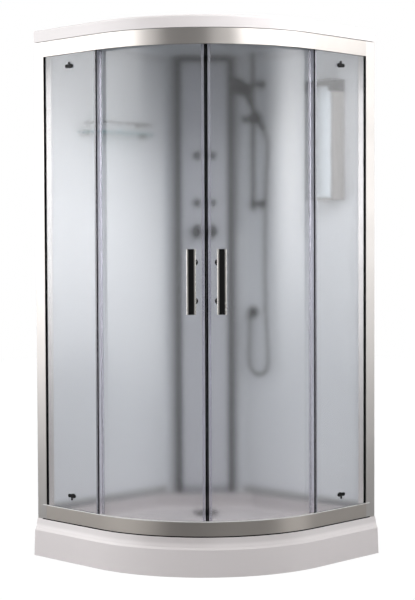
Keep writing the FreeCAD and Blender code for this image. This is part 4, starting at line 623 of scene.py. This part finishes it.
@dataclass
class HandShower(SubAssembly):
    """Hand shower in its holder on the riser, with rings of soft nozzles on its face."""

    holder_mm: tuple[float, float, float] = (436.0, 115.0, 1812.0)
    handle_tilt: float = 37.0
    head_place_mm: tuple[float, float, float] = (0.0, -6.0, 165.0)
    head_turn: float = 12.0
    face_mm: float = 12.8
    rings: tuple[tuple[float, int], ...] = ((9.0, 6), (18.0, 12), (27.0, 18), (36.0, 24))
    nozzle_mm: tuple[tuple[float, float], ...] = ((1.9, 0.0), (1.7, 1.2), (1.2, 2.4), (0.7, 2.6))
    nozzle_sides: int = 10

    finishes: ClassVar[dict[str, Finish]] = {
        "riser_tube": CHROME_PLATE,
        "riser_brackets": PLATED_ABS,
        "rail_slider": PLATED_ABS,
        "handset_holder": PLATED_ABS,
        "hand_shower": DARKEST_REFLECTION_PLATE,
        "spray_face": BLACK_NYLON,
    }

    def head(self) -> Matrix:
        """Work out where the spray head is and how it is turned.

        Returns:
            The matrix from the head's own axes to the frame's.
        """
        place = Matrix.Translation(from_walls(self.holder_mm))
        place = place @ Matrix.Rotation(math.radians(self.handle_tilt), 4, "X")
        place = place @ Matrix.Translation(Vector(self.head_place_mm) * MM)
        return place @ Matrix.Rotation(math.radians(self.head_turn), 4, "X")

    def nozzle(self, head: Matrix, middle: tuple[float, float]) -> list[Vector]:
        """Return the points of one nozzle, ring by ring.

        Args:
            head: The matrix from the head's own axes to the frame's.
            middle: The nozzle's place on the face, in millimetres.

        Returns:
            Its points.
        """
        points = []
        for wide, proud in self.nozzle_mm:
            for side in range(self.nozzle_sides):
                turn = math.tau * side / self.nozzle_sides
                spot = Vector((middle[0] + wide * math.cos(turn), -self.face_mm - proud,
                               middle[1] + wide * math.sin(turn)))
                points.append(head @ (spot * MM))
        return points

    def build(self) -> None:
        """Make all nozzles as one moulded piece."""
        head = self.head()
        points = []
        faces = []
        for radius, count in self.rings:
            for number in range(count):
                turn = math.tau * number / count
                first = len(points)
                points += self.nozzle(head, (radius * math.cos(turn), radius * math.sin(turn)))
                for face in join_rings(len(self.nozzle_mm), self.nozzle_sides):
                    faces.append(tuple(first + corner for corner in face))
        piece = add_mesh("spray_nozzles", points, faces, GREY_SILICONE)
        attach(piece, "handset")


@dataclass
class ShowerHose(SubAssembly):
    """Limp hose from the hand shower's nut to the wall outlet's nut, wound from a strip of steel."""

    diameter_mm: float = 12.0
    length_m: float = 1.348
    start_mm: tuple[float, float, float] = (436.0, 69.87, 1752.10)
    lead_mm: tuple[float, float, float] = (436.0, 45.79, 1720.16)
    end_mm: tuple[float, float, float] = (340.0, 60.0, 937.0)
    route_mm: tuple[tuple[float, float, float], ...] = (
        (434.0, 50.0, 1650.0),
        (431.0, 55.0, 1512.0),
        (428.0, 58.0, 1332.0),
        (427.0, 59.0, 1142.0),
        (431.0, 60.0, 985.0),
        (438.0, 60.0, 880.0),
        (443.0, 60.0, 806.0),
        (444.0, 60.0, 742.0),
        (423.0, 60.0, 713.0),
        (390.0, 60.0, 702.0),
        (357.0, 60.0, 713.0),
        (336.0, 60.0, 742.0),
        (335.0, 60.0, 800.0),
        (340.0, 60.0, 880.0),
    )
    curve_order: int = 3
    curve_steps: int = 256
    sides: int = 12
    step_mm: float = 1.0
    groove_mm: tuple[float, ...] = (0.0, 0.0, 0.15, 0.7)
    top_ends_mm: float = 1640.0
    hangs_from_mm: tuple[float, float, float] = (440.0, 60.0, 950.0)

    finishes: ClassVar[dict[str, Finish]] = {
        "handset_hose_nut": CHROME_PLATE,
        "outlet_hose_nut": CHROME_PLATE,
        "wall_outlet": CHROME_PLATE,
    }

    def line(self) -> list[Vector]:
        """Draw the route's smooth line.

        Returns:
            Points about a step apart along it, from the hand shower down.
        """
        curve = bpy.data.curves.new("hose_route", "CURVE")
        curve.dimensions = "3D"
        curve.resolution_u = self.curve_steps
        places = (self.start_mm, self.lead_mm, *self.route_mm, self.end_mm)
        spline = curve.splines.new("NURBS")
        spline.points.add(len(places) - 1)
        for point, place in zip(spline.points, places):
            point.co = (*from_walls(place), 1.0)
        spline.order_u = self.curve_order
        spline.use_endpoint_u = True
        route = bpy.data.objects.new("hose_route", curve)
        mesh = bpy.data.meshes.new_from_object(route)
        fine = [vertex.co.copy() for vertex in mesh.vertices]
        bpy.data.meshes.remove(mesh)
        bpy.data.objects.remove(route)
        bpy.data.curves.remove(curve)
        chosen = [fine[0]]
        for point in fine[1:-1]:
            if (point - chosen[-1]).length >= self.step_mm * MM:
                chosen.append(point)
        return chosen + [fine[-1]]

    def sleeve(self, line: list[Vector]) -> bpy.types.Object:
        """Make the ribbed tube.

        Args:
            line: Points on its middle, a step apart.

        Returns:
            The tube.
        """
        points = []
        across = Vector((1.0, 0.0, 0.0))
        for index, middle in enumerate(line):
            ahead = line[min(index + 1, len(line) - 1)] - line[max(index - 1, 0)]
            ahead.normalize()
            across = (across - ahead * across.dot(ahead)).normalized()
            beside = ahead.cross(across)
            radius = (self.diameter_mm / 2 - self.groove_mm[index % len(self.groove_mm)]) * MM
            for side in range(self.sides):
                turn = math.tau * side / self.sides
                points.append(middle + (across * math.cos(turn) + beside * math.sin(turn)) * radius)
        return add_mesh("hose_sleeve", points, join_rings(len(line), self.sides), WOUND_HOSE)

    def build(self) -> None:
        line = self.line()
        hose = self.sleeve(line)
        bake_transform(hose)
        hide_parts("shower_hose")


@dataclass(frozen=True)
class PhotoCamera:
    """Camera where the photograph was taken from, fitted to the corners of the cabin's frame."""

    right_of_diagonal_m: float = -0.0519
    from_rear_corner_m: float = 6.91633
    height_m: float = 1.26769
    turned_right: float = 0.00955
    tilted_down: float = 0.03603
    roll: float = -0.00388
    focal_px: float = 1521.27
    image_height_px: int = 600
    sensor_mm: float = 36.0

    def place(self) -> None:
        """Make the camera and take it into use."""
        ahead = TO_RIGHT * math.sin(self.turned_right) - TO_FRONT * math.cos(self.turned_right)
        right = TO_RIGHT * math.cos(self.turned_right) + TO_FRONT * math.sin(self.turned_right)
        forward = ahead * math.cos(self.tilted_down) - UP * math.sin(self.tilted_down)
        above = UP * math.cos(self.tilted_down) + ahead * math.sin(self.tilted_down)
        across = right * math.cos(self.roll) + above * math.sin(self.roll)
        above = above * math.cos(self.roll) - right * math.sin(self.roll)
        spot = REAR_CORNER + TO_FRONT * self.from_rear_corner_m + TO_RIGHT * self.right_of_diagonal_m
        turn = Matrix((across, above, -forward)).transposed()
        data = bpy.data.cameras.new("photo_camera")
        data.sensor_width = self.sensor_mm
        data.lens = self.focal_px / self.image_height_px * self.sensor_mm
        camera = bpy.data.objects.new("photo_camera", data)
        camera.matrix_world = Matrix.Translation(spot + UP * self.height_m) @ turn.to_4x4()
        bpy.context.scene.collection.objects.link(camera)
        bpy.context.scene.camera = camera


@dataclass(frozen=True)
class Softbox:
    """A soft source far off, by the angles at which it stands round the cabin, in degrees."""

    name: str
    to_right: float
    above: float
    half_width: float
    half_height: float
    edge: tuple[float, float]
    strength: float


@dataclass(frozen=True)
class Lamp:
    """A soft lamp near the cabin, aimed at the middle of its top."""

    name: str
    to_right_m: float
    to_front_m: float
    up_m: float
    width_m: float
    height_m: float
    watts: float


SOFTBOXES: tuple[Softbox, ...] = (
    Softbox("left_strip", to_right=-90.0, above=1.0, half_width=22.0, half_height=4.5,
            edge=(9.0, 9.0), strength=2.9),
    Softbox("left_front_strip", to_right=-52.0, above=0.5, half_width=16.0, half_height=4.5,
            edge=(12.0, 9.0), strength=2.8),
    Softbox("left_wide", to_right=-92.0, above=24.0, half_width=38.0, half_height=20.0,
            edge=(16.0, 16.0), strength=2.7),
    Softbox("right_strip", to_right=100.0, above=2.5, half_width=14.0, half_height=4.5,
            edge=(9.0, 9.0), strength=1.2),
    Softbox("right_front_strip", to_right=74.0, above=3.0, half_width=14.0, half_height=3.8,
            edge=(24.0, 8.0), strength=5.5),
    Softbox("right_wide", to_right=100.0, above=24.0, half_width=30.0, half_height=20.0,
            edge=(16.0, 16.0), strength=0.75),
    Softbox("front_right_high", to_right=33.0, above=22.0, half_width=29.0, half_height=8.0,
            edge=(8.0, 8.0), strength=2.2),
    Softbox("front_low", to_right=0.0, above=-12.0, half_width=60.0, half_height=12.0,
            edge=(14.0, 14.0), strength=0.15),
)
LAMPS: tuple[Lamp, ...] = (
    Lamp("right_lamp", to_right_m=1.35, to_front_m=1.25, up_m=2.8, width_m=1.6, height_m=0.8, watts=20.0),
    Lamp("right_side_lamp", to_right_m=1.7, to_front_m=0.0, up_m=2.7, width_m=0.8, height_m=0.6, watts=4.6),
)


@dataclass
class Studio:
    """Pale floor, white backdrop and soft light that is brighter at the sides than in front."""

    base_level: float = 0.31
    backdrop_level: float = 1.0
    backdrop_fades: tuple[float, float] = (-0.35, -0.1)
    lamps_aim_m: float = 1.9
    floor_half_m: float = 9.0
    floor_seen: str = "F4F5F6"
    floor_unseen: str = "8E8F91"
    floor_glow: float = 1.05
    floor_glow_share: float = 0.9

    def build(self) -> None:
        """Make the world, the floor and the lamps."""
        self.light_world()
        self.lay_floor()
        for lamp in LAMPS:
            self.hang(lamp)

    def light_world(self) -> None:
        """Light from all round, with a white backdrop behind the object."""
        world = bpy.data.worlds.new("studio")
        world.use_nodes = True
        tree = world.node_tree
        tree.nodes.clear()
        way = add_node(tree, "ShaderNodeTexCoord").outputs["Generated"]
        ahead, aside, above = (
            add_node(tree, "ShaderNodeVectorMath", {"operation": "DOT_PRODUCT"}, {
                0: way, 1: axis,
            }).outputs["Value"]
            for axis in (TO_FRONT, TO_RIGHT, UP)
        )
        turn = add_node(tree, "ShaderNodeMath", {"operation": "ARCTAN2"}, {
            0: aside, 1: ahead,
        }).outputs["Value"]
        rise = add_node(tree, "ShaderNodeMath", {"operation": "ARCSINE"}, {0: above}).outputs["Value"]
        level = self.base_level
        for box in SOFTBOXES:
            level = add_node(tree, "ShaderNodeMath", {"operation": "ADD"}, {
                0: level, 1: self.glow(tree, box, turn, rise),
            }).outputs["Value"]
            LOG.info("%s at %.0f degrees, level %.2f", box.name, box.to_right, box.strength)
        light = add_node(tree, "ShaderNodeBackground", sockets={"Color": WHITE, "Strength": level})
        white = add_node(tree, "ShaderNodeBackground", sockets={
            "Color": WHITE, "Strength": self.backdrop_level,
        })
        mixed = add_node(tree, "ShaderNodeMixShader", sockets={
            0: self.sees_backdrop(tree, ahead),
            1: light.outputs["Background"],
            2: white.outputs["Background"],
        })
        add_node(tree, "ShaderNodeOutputWorld", sockets={"Surface": mixed.outputs["Shader"]})
        bpy.context.scene.world = world

    @staticmethod
    def glow(tree: bpy.types.NodeTree, box: Softbox, turn: bpy.types.NodeSocket,
             rise: bpy.types.NodeSocket) -> bpy.types.NodeSocket:
        """Return the light of a softbox in a direction.

        Args:
            tree: The world's node tree.
            box: The softbox.
            turn: The direction's angle to the right of straight ahead, in radians.
            rise: Its angle above the floor, in radians.

        Returns:
            The socket with the softbox's level, which fades out over its edge.
        """
        product = box.strength
        spans = (
            (turn, box.to_right, box.half_width, box.edge[0]),
            (rise, box.above, box.half_height, box.edge[1]),
        )
        for angle, middle, half, edge in spans:
            away = add_node(tree, "ShaderNodeMath", {"operation": "SUBTRACT"}, {
                0: angle, 1: math.radians(middle),
            })
            away = add_node(tree, "ShaderNodeMath", {"operation": "ABSOLUTE"}, {0: away.outputs["Value"]})
            inside = add_node(tree, "ShaderNodeMapRange", {"interpolation_type": "SMOOTHSTEP"}, {
                "Value": away.outputs["Value"],
                "From Min": math.radians(max(half - edge / 2, 0.0)),
                "From Max": math.radians(half + edge / 2),
                "To Min": 1.0,
                "To Max": 0.0,
            })
            product = add_node(tree, "ShaderNodeMath", {"operation": "MULTIPLY"}, {
                0: product, 1: inside.outputs["Result"],
            }).outputs["Value"]
        return product

    def sees_backdrop(self, tree: bpy.types.NodeTree, ahead: bpy.types.NodeSocket) -> bpy.types.NodeSocket:
        """Return whether a ray shows the white backdrop.

        Args:
            tree: The world's node tree.
            ahead: How far the ray goes towards the front.

        Returns:
            The socket that is 1 for what the camera sees, and for what metal and glass show of the backdrop.
        """
        rays = add_node(tree, "ShaderNodeLightPath")
        seen = add_node(tree, "ShaderNodeMath", {"operation": "MAXIMUM"}, {
            0: rays.outputs["Is Glossy Ray"], 1: rays.outputs["Is Transmission Ray"],
        })
        behind = add_node(tree, "ShaderNodeMapRange", {"interpolation_type": "SMOOTHSTEP"}, {
            "Value": ahead,
            "From Min": self.backdrop_fades[0],
            "From Max": self.backdrop_fades[1],
            "To Min": 1.0,
            "To Max": 0.0,
        })
        shown = add_node(tree, "ShaderNodeMath", {"operation": "MULTIPLY"}, {
            0: seen.outputs["Value"], 1: behind.outputs["Result"],
        })
        return add_node(tree, "ShaderNodeMath", {"operation": "MAXIMUM"}, {
            0: rays.outputs["Is Camera Ray"], 1: shown.outputs["Value"],
        }).outputs["Value"]

    def lay_floor(self) -> None:
        """Lay a wide pale floor that keeps the object's shadow."""
        mesh = bpy.data.meshes.new("floor_mesh")
        reach = self.floor_half_m
        corners = [(-reach, -reach, 0), (reach, -reach, 0), (reach, reach, 0), (-reach, reach, 0)]
        mesh.from_pydata(corners, [], [(0, 1, 2, 3)])
        floor = bpy.data.objects.new("floor", mesh)
        bpy.context.scene.collection.objects.link(floor)
        material = bpy.data.materials.new("pale_floor")
        material.use_nodes = True
        tree = material.node_tree
        tree.nodes.clear()
        camera_ray = add_node(tree, "ShaderNodeLightPath").outputs["Is Camera Ray"]
        shade = add_node(tree, "ShaderNodeMix", {"data_type": "RGBA"}, {
            "Factor": camera_ray, "A": linear(self.floor_unseen), "B": linear(self.floor_seen),
        })
        paint = add_node(tree, "ShaderNodeBsdfDiffuse", sockets={"Color": shade.outputs["Result"]})
        glow = add_node(tree, "ShaderNodeEmission", sockets={"Color": WHITE, "Strength": self.floor_glow})
        share = add_node(tree, "ShaderNodeMath", {"operation": "MULTIPLY"}, {
            0: camera_ray, 1: self.floor_glow_share,
        })
        mixed = add_node(tree, "ShaderNodeMixShader", sockets={
            0: share.outputs["Value"], 1: paint.outputs["BSDF"], 2: glow.outputs["Emission"],
        })
        add_node(tree, "ShaderNodeOutputMaterial", sockets={"Surface": mixed.outputs["Shader"]})
        mesh.materials.append(material)

    def hang(self, lamp: Lamp) -> None:
        """Add a lamp.

        Args:
            lamp: Where it hangs, its size and its power.
        """
        data = bpy.data.lights.new(lamp.name, "AREA")
        data.shape = "RECTANGLE"
        data.size = lamp.width_m
        data.size_y = lamp.height_m
        data.energy = lamp.watts
        spot = TO_RIGHT * lamp.to_right_m + TO_FRONT * lamp.to_front_m + UP * lamp.up_m
        light = bpy.data.objects.new(lamp.name, data)
        light.location = spot
        light.rotation_mode = "QUATERNION"
        light.rotation_quaternion = (UP * self.lamps_aim_m - spot).to_track_quat("-Z", "Y")
        light.visible_camera = False
        bpy.context.scene.collection.objects.link(light)
        LOG.info("%s, %.1f W", lamp.name, lamp.watts)


def main() -> None:
    """Build and dress the cabin, one sub-assembly after the other."""
    logging.basicConfig(level=logging.INFO, format="%(name)s: %(message)s")
    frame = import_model()
    bpy.context.scene.view_settings.view_transform = "Standard"
    PhotoCamera().place()
    Studio().build()
    assemblies = (
        ShowerHose(), FrontFrame(), HandShower(), ShowerTray(), WallsAndRoof(), ShelfAndMirror(),
        WaterSupply(), SlidingDoor("left"), SlidingDoor("right"),
    )
    for assembly in assemblies:
        assembly.build()
        assembly.dress(frame)


if __name__ == "__main__":
    main()
